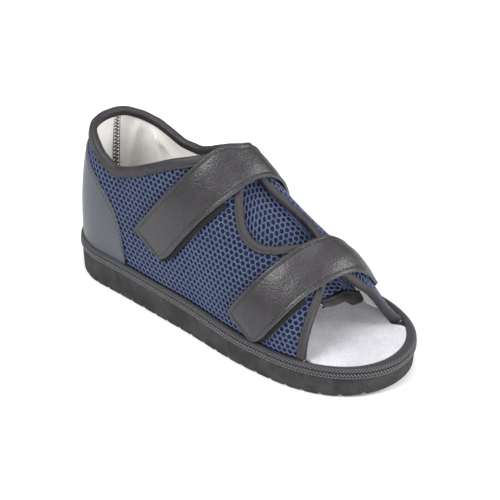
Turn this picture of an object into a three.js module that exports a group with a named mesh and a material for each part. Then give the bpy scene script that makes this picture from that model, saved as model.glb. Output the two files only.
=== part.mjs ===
import * as THREE from 'three';

// Post operative shoe for the right foot, in millimetres.
// X runs from heel to toe, Y to the inner (medial) side of the foot and Z up, with the floor at Z = 0.
// A station is a distance from the back of the heel. Around the upper it is negative on the outer
// (lateral) side, so that one number runs from the lateral toe edge round the heel to the medial one.

// Sole
const LENGTH = 285;
const BALL_WIDTH = 108;
const HEEL_ROUND = 44;
const TOE_ROUND = 75;
const HEEL_FULLNESS = 2.2;
const TOE_FULLNESS = 2.13;
const HEEL_THICKNESS = 21.8;
const TOE_SPRING = 3;
const TREAD_PITCH = 12.4;
const NOTCH_WIDTH = 3.2;
const NOTCH_DEPTH = 1.3;
const NOTCH_FLANK = 0.9;

// Platform, rim and insole
const BAND_HEIGHT = 5;
const RIM_HEIGHT = 1.9;
const RIM_CROWN = 0.25;
const SOLE_STEP = 1.4;
const INSOLE_THICKNESS = 1.5;

// Upper
const INSTEP_HEIGHT = 128;
const WALL = 2.4;
const LATERAL_FRONT = 0.8246 * LENGTH;
const MEDIAL_FRONT = 0.9228 * LENGTH;

// Overlays, tapes and straps
const COUNTER_THICKNESS = 1.25;
const TAPE_THICKNESS = 1.1;
const COLLAR_TAPE_WIDTH = 6.2;
const EDGE_TAPE_WIDTH = 4.8;
const MEDIAL_TAPE_WIDTH = 3.4;
const COLLAR_FRONT = 0.4842 * LENGTH;
const PAD_THICKNESS = 1.35;
const PAD_MARGIN = 3.5;
const PAD_END = -0.016;
const STRAP_THICKNESS = 2.2;
const TONGUE_THICKNESS = 2.5;
const TONGUE_TOP = 0.495 * LENGTH;
const TONGUE_FRONT = 0.828 * LENGTH;
const TONGUE_SAG = 22;

// Clearances
const CLEAR = 0.3;
const SEAM = 0.38;
const LINING_CLEAR = 1;
const FLAP_CLEAR = 0.9;
const LEAN_CLEAR = 6;
const INSOLE_CLEAR = 0.5;
const JOINT = 1.8;

// Sole outline: at and centre line follow the length, half width and centre line the ball width.
const OUTLINE = [
  { at: 0.0, half: 0.394, centre: 0.0 },
  { at: 0.16, half: 0.398, centre: -0.011 },
  { at: 0.42, half: 0.435, centre: -0.022 },
  { at: 0.68, half: 0.5, centre: -0.019 },
  { at: 0.86, half: 0.495, centre: -0.006 },
  { at: 1.0, half: 0.491, centre: 0.014 },
];

// Height of the side wall, as a share of the heel's thickness.
const SIDE_WALL = [
  { at: 0.0, height: 1.0 },
  { at: 0.21, height: 0.963 },
  { at: 0.47, height: 0.89 },
  { at: 0.58, height: 0.798 },
  { at: 0.68, height: 0.734 },
  { at: 1.0, height: 0.716 },
];

// Lift of the underside towards the toe, as a share of the toe spring.
const SPRING = [
  { at: 0.0, lift: 0.0 },
  { at: 0.84, lift: 0.0 },
  { at: 0.895, lift: 0.13 },
  { at: 0.947, lift: 0.45 },
  { at: 1.0, lift: 1.0 },
];

// Width of the rim outside the upper, as a share of the ball width.
const SEAT = [
  { at: 0.0, inset: 0.031 },
  { at: 0.154, inset: 0.043 },
  { at: 0.35, inset: 0.042 },
  { at: 0.526, inset: 0.049 },
  { at: 0.842, inset: 0.051 },
  { at: 0.93, inset: 0.059 },
  { at: 1.0, inset: 0.076 },
];

// Sections of the last: ridge height as a share of the instep height, ridge line as a share of the
// ball width, and how flat the medial side stands between seat and ridge (0 round, 1 flat).
const LAST = [
  { at: 0.154, ridge: 1.297, line: 0.0, flat: 0 },
  { at: 0.351, ridge: 1.25, line: 0.009, flat: 0 },
  { at: 0.46, ridge: 1.117, line: 0.023, flat: 0.12 },
  { at: 0.519, ridge: 1.0, line: 0.028, flat: 0.42 },
  { at: 0.586, ridge: 0.875, line: 0.037, flat: 0.48 },
  { at: 0.649, ridge: 0.773, line: 0.042, flat: 0.48 },
  { at: 0.726, ridge: 0.672, line: 0.046, flat: 0.48 },
  { at: 0.8, ridge: 0.582, line: 0.046, flat: 0.52 },
  { at: 0.842, ridge: 0.492, line: 0.046, flat: 0.65 },
  { at: 0.877, ridge: 0.406, line: 0.046, flat: 1 },
  { at: 0.919, ridge: 0.312, line: 0.042, flat: 1 },
  { at: 1.0, ridge: 0.234, line: 0.037, flat: 1 },
];

// Top edge of each wing, from the back of the heel forward. Rise is the way from seat to ridge;
// over 1 the edge lies past the ridge.
const LATERAL_TOP = [
  { at: 0.0, rise: 0.458 },
  { at: 0.07, rise: 0.453 },
  { at: 0.119, rise: 0.427 },
  { at: 0.158, rise: 0.382 },
  { at: 0.193, rise: 0.365 },
  { at: 0.225, rise: 0.379 },
  { at: 0.302, rise: 0.445 },
  { at: 0.393, rise: 0.56 },
  { at: 0.442, rise: 0.665 },
  { at: 0.484, rise: 0.79 },
  { at: 0.519, rise: 0.82 },
  { at: 0.543, rise: 0.761 },
  { at: 0.571, rise: 0.639 },
  { at: 0.591, rise: 0.581 },
  { at: 0.611, rise: 0.566 },
  { at: 0.633, rise: 0.575 },
  { at: 0.667, rise: 0.637 },
  { at: 0.713, rise: 0.77 },
  { at: 0.751, rise: 0.855 },
  { at: 0.796, rise: 0.855 },
  { at: 0.825, rise: 0.8 },
];
const MEDIAL_TOP = [
  { at: 0.0, rise: 0.458 },
  { at: 0.046, rise: 0.455 },
  { at: 0.098, rise: 0.432 },
  { at: 0.186, rise: 0.38 },
  { at: 0.232, rise: 0.353 },
  { at: 0.267, rise: 0.352 },
  { at: 0.347, rise: 0.41 },
  { at: 0.411, rise: 0.505 },
  { at: 0.449, rise: 0.61 },
  { at: 0.484, rise: 0.745 },
  { at: 0.519, rise: 0.89 },
  { at: 0.547, rise: 1.0 },
  { at: 0.568, rise: 1.055 },
  { at: 0.632, rise: 1.02 },
  { at: 0.688, rise: 0.99 },
  { at: 0.723, rise: 1.01 },
  { at: 0.807, rise: 1.07 },
  { at: 0.923, rise: 1.1 },
];

// How far each wing's toe edge slants back as it rises, as a share of the length.
const LATERAL_SLANT = [
  { at: 0.0, back: 0.0 },
  { at: 0.254, back: 0.002 },
  { at: 0.447, back: 0.006 },
  { at: 0.607, back: 0.012 },
  { at: 0.715, back: 0.021 },
  { at: 0.8, back: 0.032 },
];
const MEDIAL_SLANT = [
  { at: 0.0, back: 0.0 },
  { at: 0.08, back: 0.002 },
  { at: 0.25, back: 0.009 },
  { at: 0.51, back: 0.025 },
  { at: 0.7, back: 0.042 },
  { at: 0.92, back: 0.06 },
  { at: 1.0, back: 0.07 },
  { at: 1.1, back: 0.105 },
];

// Top edge of the heel counter, which sweeps up from the sole to the collar at the back.
const COUNTER_TOP = [
  { at: 0.0, rise: 0.385 },
  { at: 0.07, rise: 0.372 },
  { at: 0.112, rise: 0.325 },
  { at: 0.138, rise: 0.29 },
  { at: 0.158, rise: 0.252 },
  { at: 0.195, rise: 0.195 },
  { at: 0.224, rise: 0.1 },
  { at: 0.234, rise: 0.03 },
];

// Each strap from its free lateral end over the ridge to its sewn medial end: stations of its rear
// and front edge as shares of the length, and how far round the last (0 lateral seat, 1 ridge,
// 2 medial seat). Raised is 1 where it rides over pad and tape and 0 where it is sewn down.
const INSTEP_STRAP = [
  { at: -0.016, rear: 0.2725, rearWay: 0.156, front: 0.361, frontWay: 0.103, raised: 1 },
  { at: 0, rear: 0.28, rearWay: 0.173, front: 0.371, frontWay: 0.114, raised: 1 },
  { at: 0.03, rear: 0.294, rearWay: 0.205, front: 0.389, frontWay: 0.134, raised: 1 },
  { at: 0.12, rear: 0.33, rearWay: 0.278, front: 0.43, frontWay: 0.23, raised: 1 },
  { at: 0.22, rear: 0.37, rearWay: 0.374, front: 0.466, frontWay: 0.337, raised: 1 },
  { at: 0.34, rear: 0.412, rearWay: 0.503, front: 0.507, frontWay: 0.498, raised: 1 },
  { at: 0.45, rear: 0.442, rearWay: 0.635, front: 0.537, frontWay: 0.661, raised: 1 },
  { at: 0.56, rear: 0.468, rearWay: 0.8, front: 0.554, frontWay: 0.82, raised: 1 },
  { at: 0.66, rear: 0.494, rearWay: 0.96, front: 0.567, frontWay: 0.97, raised: 1 },
  { at: 0.76, rear: 0.504, rearWay: 1.13, front: 0.582, frontWay: 1.14, raised: 0.85 },
  { at: 0.86, rear: 0.498, rearWay: 1.35, front: 0.578, frontWay: 1.36, raised: 0.35 },
  { at: 0.93, rear: 0.475, rearWay: 1.57, front: 0.558, frontWay: 1.59, raised: 0 },
  { at: 1, rear: 0.436, rearWay: 1.82, front: 0.522, frontWay: 1.86, raised: 0 },
];
const FOREFOOT_STRAP = [
  { at: -0.016, rear: 0.597, rearWay: 0.084, front: 0.6735, frontWay: 0.012, raised: 1 },
  { at: 0, rear: 0.602, rearWay: 0.105, front: 0.682, frontWay: 0.018, raised: 1 },
  { at: 0.03, rear: 0.611, rearWay: 0.145, front: 0.698, frontWay: 0.034, raised: 1 },
  { at: 0.14, rear: 0.636, rearWay: 0.262, front: 0.728, frontWay: 0.15, raised: 1 },
  { at: 0.28, rear: 0.671, rearWay: 0.447, front: 0.76, frontWay: 0.33, raised: 1 },
  { at: 0.4, rear: 0.692, rearWay: 0.585, front: 0.782, frontWay: 0.49, raised: 1 },
  { at: 0.5, rear: 0.707, rearWay: 0.71, front: 0.8, frontWay: 0.64, raised: 1 },
  { at: 0.6, rear: 0.721, rearWay: 0.85, front: 0.814, frontWay: 0.81, raised: 1 },
  { at: 0.7, rear: 0.734, rearWay: 1, front: 0.827, frontWay: 1, raised: 0.9 },
  { at: 0.79, rear: 0.756, rearWay: 1.17, front: 0.84, frontWay: 1.21, raised: 0.8 },
  { at: 0.87, rear: 0.764, rearWay: 1.38, front: 0.844, frontWay: 1.44, raised: 0.25 },
  { at: 0.93, rear: 0.754, rearWay: 1.6, front: 0.83, frontWay: 1.65, raised: 0 },
  { at: 1, rear: 0.728, rearWay: 1.86, front: 0.803, frontWay: 1.9, raised: 0 },
];

// The tongue from its top to its front lip: how far round the last each side edge lies, and its sag.
const TONGUE = [
  { at: 0.495, lateral: 0.64, medial: 1.3, sag: 0.0 },
  { at: 0.56, lateral: 0.5, medial: 1.26, sag: 0.0 },
  { at: 0.614, lateral: 0.44, medial: 1.24, sag: 0.03 },
  { at: 0.702, lateral: 0.5, medial: 1.24, sag: 0.17 },
  { at: 0.772, lateral: 0.55, medial: 1.31, sag: 0.55 },
  { at: 0.828, lateral: 0.6, medial: 1.45, sag: 1.0 },
];
const TONGUE_HOLLOW = [
  { at: 0, sag: 0.06 },
  { at: 0.125, sag: 0.34 },
  { at: 0.25, sag: 0.6 },
  { at: 0.375, sag: 0.76 },
  { at: 0.5, sag: 0.88 },
  { at: 0.625, sag: 0.96 },
  { at: 0.75, sag: 0.98 },
  { at: 1, sag: 0.7 },
];

// Reads a column between the rows of a table, on a smooth curve that never overshoots.
function read(table, column, at) {
  const last = table.length - 1;
  const place = THREE.MathUtils.clamp(at, table[0].at, table[last].at);
  let row = 0;
  while (row < last - 1 && place > table[row + 1].at) {
    row += 1;
  }
  const span = (i) => table[i + 1].at - table[i].at;
  const slope = (i) => (table[i + 1][column] - table[i][column]) / span(i);
  const tangent = (i) => {
    if (i === 0) return slope(0);
    if (i === last) return slope(last - 1);
    const before = slope(i - 1);
    const after = slope(i);
    if (before * after <= 0) return 0;
    const near = 2 * span(i) + span(i - 1);
    const far = span(i) + 2 * span(i - 1);
    return (near + far) / (near / before + far / after);
  };
  const step = span(row);
  const u = (place - table[row].at) / step;
  const start = table[row][column] * (1 + 2 * u) * (1 - u) ** 2;
  const end = table[row + 1][column] * u * u * (3 - 2 * u);
  const leave = tangent(row) * step * u * (1 - u) ** 2;
  const arrive = tangent(row + 1) * step * u * u * (u - 1);
  return start + end + leave + arrive;
}

const smooth = THREE.MathUtils.smoothstep;
const spread = (count) => Array.from({ length: count + 1 }, (_, i) => i / count);

// A point of the sole's outline on one side (-1 lateral, 1 medial).
function outlinePoint(station, side) {
  const inHeel = station < HEEL_ROUND;
  const turn = (THREE.MathUtils.clamp(station / HEEL_ROUND, 0, 1) * Math.PI) / 2;
  const x = inHeel ? HEEL_ROUND * (1 - Math.cos(turn) ** (2 / HEEL_FULLNESS)) : station;
  const heelEnd = inHeel ? Math.sin(turn) ** (2 / HEEL_FULLNESS) : 1;
  const reach = THREE.MathUtils.clamp((x - (LENGTH - TOE_ROUND)) / TOE_ROUND, 0, 1);
  const toeEnd = (1 - reach ** TOE_FULLNESS) ** (1 / TOE_FULLNESS);
  const half = read(OUTLINE, 'half', x / LENGTH) * BALL_WIDTH * heelEnd * toeEnd;
  const centre = read(OUTLINE, 'centre', x / LENGTH) * BALL_WIDTH;
  return new THREE.Vector2(x, centre + side * half);
}

// The same point moved inward, square to the outline.
function insetPoint(station, side, inset) {
  const before = outlinePoint(Math.max(station - 0.5, 0), side);
  const along = outlinePoint(Math.min(station + 0.5, LENGTH), side).sub(before).normalize();
  const inward = new THREE.Vector2(along.y, -along.x).multiplyScalar(side);
  if (station < 1e-6) inward.set(1, 0);
  if (station > LENGTH - 1e-6) inward.set(-1, 0);
  return outlinePoint(station, side).addScaledVector(inward, inset);
}

// Heights of the sole's layers.
const sideTop = (x) => read(SIDE_WALL, 'height', x / LENGTH) * HEEL_THICKNESS;
const platformTop = (x) => sideTop(x) + CLEAR + BAND_HEIGHT;
const seatHeight = (x) => platformTop(x) + CLEAR + RIM_HEIGHT;
const seatInset = (station) => read(SEAT, 'inset', station / LENGTH) * BALL_WIDTH;

// The last: a point round it from the seat (0) over the ridge (1) and down the other side.
function lastSurface(around, rise) {
  if (rise > 1) return lastSurface(-around, 2 - rise);
  const side = around < 0 ? -1 : 1;
  const station = Math.abs(around);
  const foot = insetPoint(station, side, seatInset(station));
  const ridgeX = Math.max(station, HEEL_ROUND);
  const at = ridgeX / LENGTH;
  const flat = side < 0 ? 0 : read(LAST, 'flat', at) * (1 - Math.abs(rise) ** 3);
  const turn = (rise * Math.PI) / 2;
  const inward = (1 - Math.cos(turn)) * (1 - flat) + rise * flat;
  const upward = Math.sin(turn) * (1 - flat) + rise * flat;
  const seat = seatHeight(foot.x);
  const ridgeY = read(LAST, 'line', at) * BALL_WIDTH;
  const ridgeZ = read(LAST, 'ridge', at) * INSTEP_HEIGHT;
  return new THREE.Vector3(
    foot.x + (ridgeX - foot.x) * inward,
    foot.y + (ridgeY - foot.y) * inward,
    seat + (ridgeZ - seat) * upward,
  );
}

// The same point lifted off the last, square to it.
function lastPoint(around, rise, lift = 0) {
  const point = lastSurface(around, rise);
  if (lift === 0) return point;
  const low = Math.max(rise - 0.002, 0);
  const along = lastSurface(around + 0.25, rise).sub(lastSurface(around - 0.25, rise));
  const up = lastSurface(around, rise + 0.002).sub(lastSurface(around, low));
  return point.addScaledVector(up.cross(along).normalize(), lift);
}

// A point given by how far round the last it lies from the lateral seat.
const roundPoint = (station, way, lift) => lastPoint(-station, way, lift);

// Station of an upper's column at some rise, with the slant of the toe edge blended in.
function wingStation(column, rise) {
  const front = column < 0 ? LATERAL_FRONT : MEDIAL_FRONT;
  const slant = column < 0 ? LATERAL_SLANT : MEDIAL_SLANT;
  const blend = column < 0 ? 0.16 * LENGTH : 0.25 * LENGTH;
  const station = Math.abs(column);
  const back = read(slant, 'back', rise) * LENGTH * smooth(station, front - blend, front);
  return Math.sign(column) * (station - back);
}
const wingTop = (column) => read(column < 0 ? LATERAL_TOP : MEDIAL_TOP, 'rise', Math.abs(column) / LENGTH);

// Columns of a wing between zones of even spacing.
function zoneColumns(zones) {
  const columns = [0];
  for (const zone of zones) {
    const start = columns[columns.length - 1];
    for (const part of spread(zone.steps).slice(1)) {
      columns.push(start + (zone.to - start) * part);
    }
  }
  return columns;
}

// Index of the column at a place.
const columnAt = (columns, place) => columns.findIndex((column) => Math.abs(column - place) < 0.001);

// Collects points and faces, and turns them into a closed mesh that faces outward.
class Solid {
  constructor() {
    this.points = [];
    this.faces = [];
  }

  add(point) {
    this.points.push(point);
    return this.points.length - 1;
  }

  triangle(a, b, c) {
    if (a !== b && b !== c && c !== a) this.faces.push([a, b, c]);
  }

  quad(a, b, c, d) {
    this.triangle(a, b, c);
    this.triangle(a, c, d);
  }

  volume() {
    const piece = ([a, b, c]) => {
      const cross = new THREE.Vector3().crossVectors(this.points[b], this.points[c]);
      return this.points[a].dot(cross) / 6;
    };
    return this.faces.reduce((sum, face) => sum + piece(face), 0);
  }

  mesh(name, look) {
    const faces = this.volume() < 0 ? this.faces.map(([a, b, c]) => [a, c, b]) : this.faces;
    const geometry = new THREE.BufferGeometry().setFromPoints(this.points);
    geometry.setIndex(faces.flat());
    geometry.computeVertexNormals();
    const mesh = new THREE.Mesh(geometry, new THREE.MeshStandardMaterial(look));
    mesh.name = name;
    mesh.position.x = -LENGTH / 2;
    return mesh;
  }
}

// A slab with the sole's outline: rings of points, one per level, closed above and below.
function slab(stations, levels) {
  const solid = new Solid();
  const rings = levels.map((level) => {
    const place = (station, side) => {
      const point = insetPoint(station, side, level.inset(station, side));
      const height = level.height(outlinePoint(station, side).x);
      return solid.add(new THREE.Vector3(point.x, point.y, height));
    };
    const heel = place(stations[0], 1);
    const toe = place(stations[stations.length - 1], 1);
    const sides = stations.slice(1, -1);
    const lateral = [heel, ...sides.map((station) => place(station, -1)), toe];
    const medial = [heel, ...sides.map((station) => place(station, 1)), toe];
    return { lateral, medial };
  });
  for (let i = 1; i < stations.length; i += 1) {
    for (let k = 1; k < rings.length; k += 1) {
      const low = rings[k - 1];
      const high = rings[k];
      solid.quad(low.lateral[i - 1], low.lateral[i], high.lateral[i], high.lateral[i - 1]);
      solid.quad(low.medial[i], low.medial[i - 1], high.medial[i - 1], high.medial[i]);
    }
    const floor = rings[0];
    const roof = rings[rings.length - 1];
    solid.quad(floor.medial[i - 1], floor.medial[i], floor.lateral[i], floor.lateral[i - 1]);
    solid.quad(roof.lateral[i - 1], roof.lateral[i], roof.medial[i], roof.medial[i - 1]);
  }
  return solid;
}

// A sheet between two matching grids of points.
function sheet(rows, columns, outer, inner) {
  const solid = new Solid();
  const grid = (place) => rows.map((row) => columns.map((column) => solid.add(place(row, column))));
  const out = grid(outer);
  const back = grid(inner);
  const bottom = rows.length - 1;
  const right = columns.length - 1;
  for (let r = 1; r <= bottom; r += 1) {
    for (let c = 1; c <= right; c += 1) {
      solid.quad(out[r - 1][c - 1], out[r - 1][c], out[r][c], out[r][c - 1]);
      solid.quad(back[r - 1][c], back[r - 1][c - 1], back[r][c - 1], back[r][c]);
    }
    solid.quad(back[r - 1][0], out[r - 1][0], out[r][0], back[r][0]);
    solid.quad(out[r - 1][right], back[r - 1][right], back[r][right], out[r][right]);
  }
  for (let c = 1; c <= right; c += 1) {
    solid.quad(out[0][c - 1], back[0][c - 1], back[0][c], out[0][c]);
    solid.quad(back[bottom][c - 1], out[bottom][c - 1], out[bottom][c], back[bottom][c]);
  }
  return solid;
}

// A section swept along a row of places; a closed sweep joins its end to its start.
function sweep(sections, profile, closed) {
  const solid = new Solid();
  const rings = sections.map((section) => section.map((point) => solid.add(point)));
  const count = rings.length;
  const size = rings[0].length;
  for (let i = 0; i < (closed ? count : count - 1); i += 1) {
    const near = rings[i];
    const far = rings[(i + 1) % count];
    for (let k = 0; k < size; k += 1) {
      const next = (k + 1) % size;
      solid.quad(near[k], near[next], far[next], far[k]);
    }
  }
  if (!closed) {
    const start = THREE.ShapeUtils.isClockWise(profile) ? rings[0] : rings[count - 1];
    const end = start === rings[0] ? rings[count - 1] : rings[0];
    for (const [a, b, c] of THREE.ShapeUtils.triangulateShape(profile, [])) {
      solid.triangle(start[a], start[b], start[c]);
      solid.triangle(end[c], end[b], end[a]);
    }
  }
  return solid;
}

// Section of a tape folded over a wall's edge: x runs out past the edge, y up off the outer face.
function tapeProfile(width, wall, seam) {
  const inside = -wall - LINING_CLEAR;
  const turn = seam + TAPE_THICKNESS;
  return [
    [-width, seam],
    [-width + 0.4, turn - 0.1],
    [turn * 0.4, turn],
    [turn, -wall / 2],
    [turn * 0.4, inside - TAPE_THICKNESS],
    [-width * 0.7, inside - TAPE_THICKNESS],
    [-width * 0.7, inside],
    [SEAM, inside],
    [SEAM, seam],
  ].map(([x, y]) => new THREE.Vector2(x, y));
}

// Folds a tape over the edge that runs along a path on a surface. Out is 1 or -1: the side of the
// path, seen along it from outside, on which the open air lies.
function edgeTape(surface, path, keep, profile, out) {
  const places = path.map(([a, b]) => surface(a, b, 0));
  const sections = path.slice(keep.from, keep.to).map(([a, b], step) => {
    const i = keep.from + step;
    const before = places[Math.max(i - 1, 0)];
    const after = places[Math.min(i + 1, places.length - 1)];
    const arrive = places[i].clone().sub(before).normalize();
    const leave = after.clone().sub(places[i]).normalize();
    const along = arrive.clone().add(leave).normalize();
    const face = surface(a, b, 1).sub(places[i]).normalize();
    const away = along.clone().cross(face).normalize().multiplyScalar(out);
    const stepA = surface(a + 0.01, b, 0).sub(surface(a - 0.01, b, 0)).divideScalar(0.02);
    const stepB = surface(a, b + 0.001, 0).sub(surface(a, b - 0.001, 0)).divideScalar(0.002);
    const aa = stepA.dot(stepA);
    const ab = stepA.dot(stepB);
    const bb = stepB.dot(stepB);
    const determinant = aa * bb - ab * ab;
    const da = (away.dot(stepA) * bb - away.dot(stepB) * ab) / determinant;
    const db = (away.dot(stepB) * aa - away.dot(stepA) * ab) / determinant;
    const bend = i > 0 && i < places.length - 1 ? Math.sqrt((1 + arrive.dot(leave)) / 2) : 1;
    const mitre = 1 / Math.max(bend, 0.7);
    return profile.map((point) => {
      const reach = point.x * mitre;
      return surface(a + da * reach, b + db * reach, point.y);
    });
  });
  return sweep(sections, profile, false);
}

// Sole

const evenInset = (inset) => () => inset;
const heelStation = (x) => (HEEL_ROUND * Math.acos((1 - x / HEEL_ROUND) ** (HEEL_FULLNESS / 2)) * 2) / Math.PI;
const stationOf = (x) => (x < HEEL_ROUND ? heelStation(x) : x);
const heelStations = spread(8).map((part) => part * HEEL_ROUND);
const middleEnd = LENGTH - TOE_ROUND;
const middleStations = spread(15).map((part) => HEEL_ROUND + (middleEnd - HEEL_ROUND) * part);
const toeStations = spread(12).map((part) => middleEnd + TOE_ROUND * Math.sin((part * Math.PI) / 2));
const ringStations = [...heelStations, ...middleStations.slice(1), ...toeStations.slice(1)];

// Tread notches run straight across, evenly out from the middle of the sole.
const notchCount = Math.floor((LENGTH / 2 - TREAD_PITCH / 2 - NOTCH_WIDTH) / TREAD_PITCH) + 1;
const notches = [];
for (let k = 0; k < notchCount; k += 1) {
  notches.push(LENGTH / 2 - (k + 0.5) * TREAD_PITCH);
  notches.push(LENGTH / 2 + (k + 0.5) * TREAD_PITCH);
}
const notchCut = (x) => {
  const gap = Math.min(...notches.map((notch) => Math.abs(x - notch)));
  return NOTCH_DEPTH * THREE.MathUtils.clamp((NOTCH_WIDTH / 2 - gap) / NOTCH_FLANK, 0, 1);
};
const springLift = (x) => read(SPRING, 'lift', x / LENGTH) * TOE_SPRING;
const notchEdges = notches.flatMap((notch) => {
  const half = NOTCH_WIDTH / 2;
  return [-half, -half + NOTCH_FLANK, half - NOTCH_FLANK, half].map((step) => stationOf(notch + step));
});
const clearOfEdges = (station) => notchEdges.every((edge) => Math.abs(edge - station) > 1.2);
const roundStations = [...heelStations, ...toeStations.slice(8)].filter(clearOfEdges);
const treadStations = [...notchEdges, ...roundStations].sort((a, b) => a - b);

const outsole = slab(treadStations, [
  { inset: evenInset(SOLE_STEP + 0.8), height: (x) => springLift(x) + notchCut(x) },
  { inset: evenInset(SOLE_STEP + 0.1), height: (x) => springLift(x) + NOTCH_DEPTH + 1.2 },
  { inset: evenInset(SOLE_STEP), height: (x) => sideTop(x) - 0.8 },
  { inset: evenInset(SOLE_STEP + 0.5), height: sideTop },
]);

const platform = slab(ringStations, [
  { inset: evenInset(SOLE_STEP * 0.8), height: (x) => sideTop(x) + CLEAR },
  { inset: evenInset(0.1), height: (x) => sideTop(x) + CLEAR + BAND_HEIGHT * 0.22 },
  { inset: evenInset(0), height: (x) => sideTop(x) + CLEAR + BAND_HEIGHT * 0.7 },
  { inset: evenInset(1.0), height: platformTop },
]);

// The bead's section, from its outer foot over its crown to its inner foot beside the upper.
const rimBase = (x) => platformTop(x) + CLEAR;
const rimSection = (station, side) => {
  const inner = seatInset(station) - SEAM;
  const x = outlinePoint(station, side).x;
  const place = (inset, height) => {
    const point = insetPoint(station, side, inset);
    return new THREE.Vector3(point.x, point.y, rimBase(x) + height);
  };
  return [
    place(1.1, 0),
    place(0.45, RIM_HEIGHT * 0.4),
    place(0.8, RIM_HEIGHT * 0.85),
    place(1.7, RIM_HEIGHT + RIM_CROWN),
    place(inner, RIM_HEIGHT),
    place(inner, 0),
  ];
};
const rimRound = [
  ...ringStations.slice(0, -1).map((station) => rimSection(station, -1)),
  ...ringStations.slice(1).reverse().map((station) => rimSection(station, 1)),
];
const rim = sweep(rimRound, [], true);

// The insole fills the upper, and widens to the rim ahead of each wing's toe edge.
const insoleInset = (station, side) => {
  const front = side < 0 ? LATERAL_FRONT : MEDIAL_FRONT;
  const inWing = 1 - smooth(station, front + 1, front + 8);
  const lean = side < 0 ? 0 : LEAN_CLEAR * smooth(station, 0.82 * LENGTH, 0.89 * LENGTH);
  return seatInset(station) + (WALL + lean + INSOLE_CLEAR) * inWing;
};
const frontStations = [LATERAL_FRONT + 1, LATERAL_FRONT + 4.5, MEDIAL_FRONT + 1, MEDIAL_FRONT + 4];
const insoleStations = [...ringStations, ...frontStations].sort((a, b) => a - b);
const insole = slab(insoleStations, [
  { inset: insoleInset, height: rimBase },
  { inset: insoleInset, height: (x) => rimBase(x) + INSOLE_THICKNESS },
]);

// Upper

const lateralZones = [
  { to: HEEL_ROUND, steps: 7 },
  { to: 0.4 * LENGTH, steps: 7 },
  { to: COLLAR_FRONT - JOINT / 2, steps: 4 },
  { to: COLLAR_FRONT + JOINT / 2, steps: 1 },
  { to: 0.533 * LENGTH, steps: 2 },
  { to: 0.723 * LENGTH, steps: 11 },
  { to: LATERAL_FRONT, steps: 5 },
];
const medialZones = [
  { to: HEEL_ROUND, steps: 7 },
  { to: 0.4 * LENGTH, steps: 7 },
  { to: COLLAR_FRONT - JOINT / 2, steps: 5 },
  { to: COLLAR_FRONT + JOINT / 2, steps: 1 },
  { to: 0.561 * LENGTH, steps: 4 },
  { to: 0.807 * LENGTH, steps: 7 },
  { to: MEDIAL_FRONT, steps: 6 },
];
const lateralColumns = zoneColumns(lateralZones).slice(1).map((column) => -column);
const medialColumns = zoneColumns(medialZones).slice(1);
const upperColumns = [...lateralColumns.slice().reverse(), 0, ...medialColumns];
const upperRows = spread(11);

// The wall's foot stands on the platform, straight below the seat line.
const wallRows = [-1, ...upperRows];
const wallPoint = (row, column, lift) => {
  const rise = Math.max(row, 0) * wingTop(column);
  const point = lastPoint(wingStation(column, rise), rise, lift);
  if (row < 0) point.z = rimBase(point.x);
  return point;
};
const upper = sheet(
  wallRows,
  upperColumns,
  (row, column) => wallPoint(row, column, 0),
  (row, column) => wallPoint(row, column, -WALL),
);

// The counter lies outside the wall, with its lower edge on the rim.
const counterEnd = COUNTER_TOP[COUNTER_TOP.length - 1].at * LENGTH;
const counterColumns = spread(22).map((part) => counterEnd * (2 * part - 1));
const counterFoot = 0.0025;
const counterPoint = (row, column, lift) => {
  const top = read(COUNTER_TOP, 'rise', Math.abs(column) / LENGTH);
  return lastPoint(column, counterFoot + (top - counterFoot) * row, lift);
};
const counter = sheet(
  spread(6),
  counterColumns,
  (row, column) => counterPoint(row, column, SEAM + COUNTER_THICKNESS),
  (row, column) => counterPoint(row, column, SEAM),
);

// Tapes follow the wings' edges, column by column.
const edgePlace = (column) => [wingStation(column, wingTop(column)), wingTop(column)];
const topPath = upperColumns.map(edgePlace);
const collarRange = {
  from: columnAt(upperColumns, -COLLAR_FRONT + JOINT / 2),
  to: columnAt(upperColumns, COLLAR_FRONT - JOINT / 2) + 1,
};
const collarTape = edgeTape(
  lastPoint,
  topPath,
  collarRange,
  tapeProfile(COLLAR_TAPE_WIDTH, WALL, 1.5 * SEAM),
  1,
);

// Down a toe edge the tape stops just above the rim.
const toePath = (front, foot) => {
  const top = wingTop(front);
  return spread(11).slice(1).map((part) => {
    const rise = top + (foot - top) * part;
    return [wingStation(front, rise), rise];
  });
};
const lateralFoot = 0.014;
const medialFoot = 0.1;
const wingTape = (columns, front, foot, width, out) => {
  const path = [...columns.map(edgePlace), ...toePath(front, foot)];
  const start = columnAt(columns, Math.sign(front) * (COLLAR_FRONT + JOINT / 2));
  return edgeTape(
    lastPoint,
    path,
    { from: start, to: path.length },
    tapeProfile(width, WALL, 1.3 * SEAM),
    out,
  );
};
const lateralTape = wingTape(lateralColumns, -LATERAL_FRONT, lateralFoot, EDGE_TAPE_WIDTH, -1);
const medialTape = wingTape(medialColumns, MEDIAL_FRONT, medialFoot, MEDIAL_TAPE_WIDTH, 1);

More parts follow.
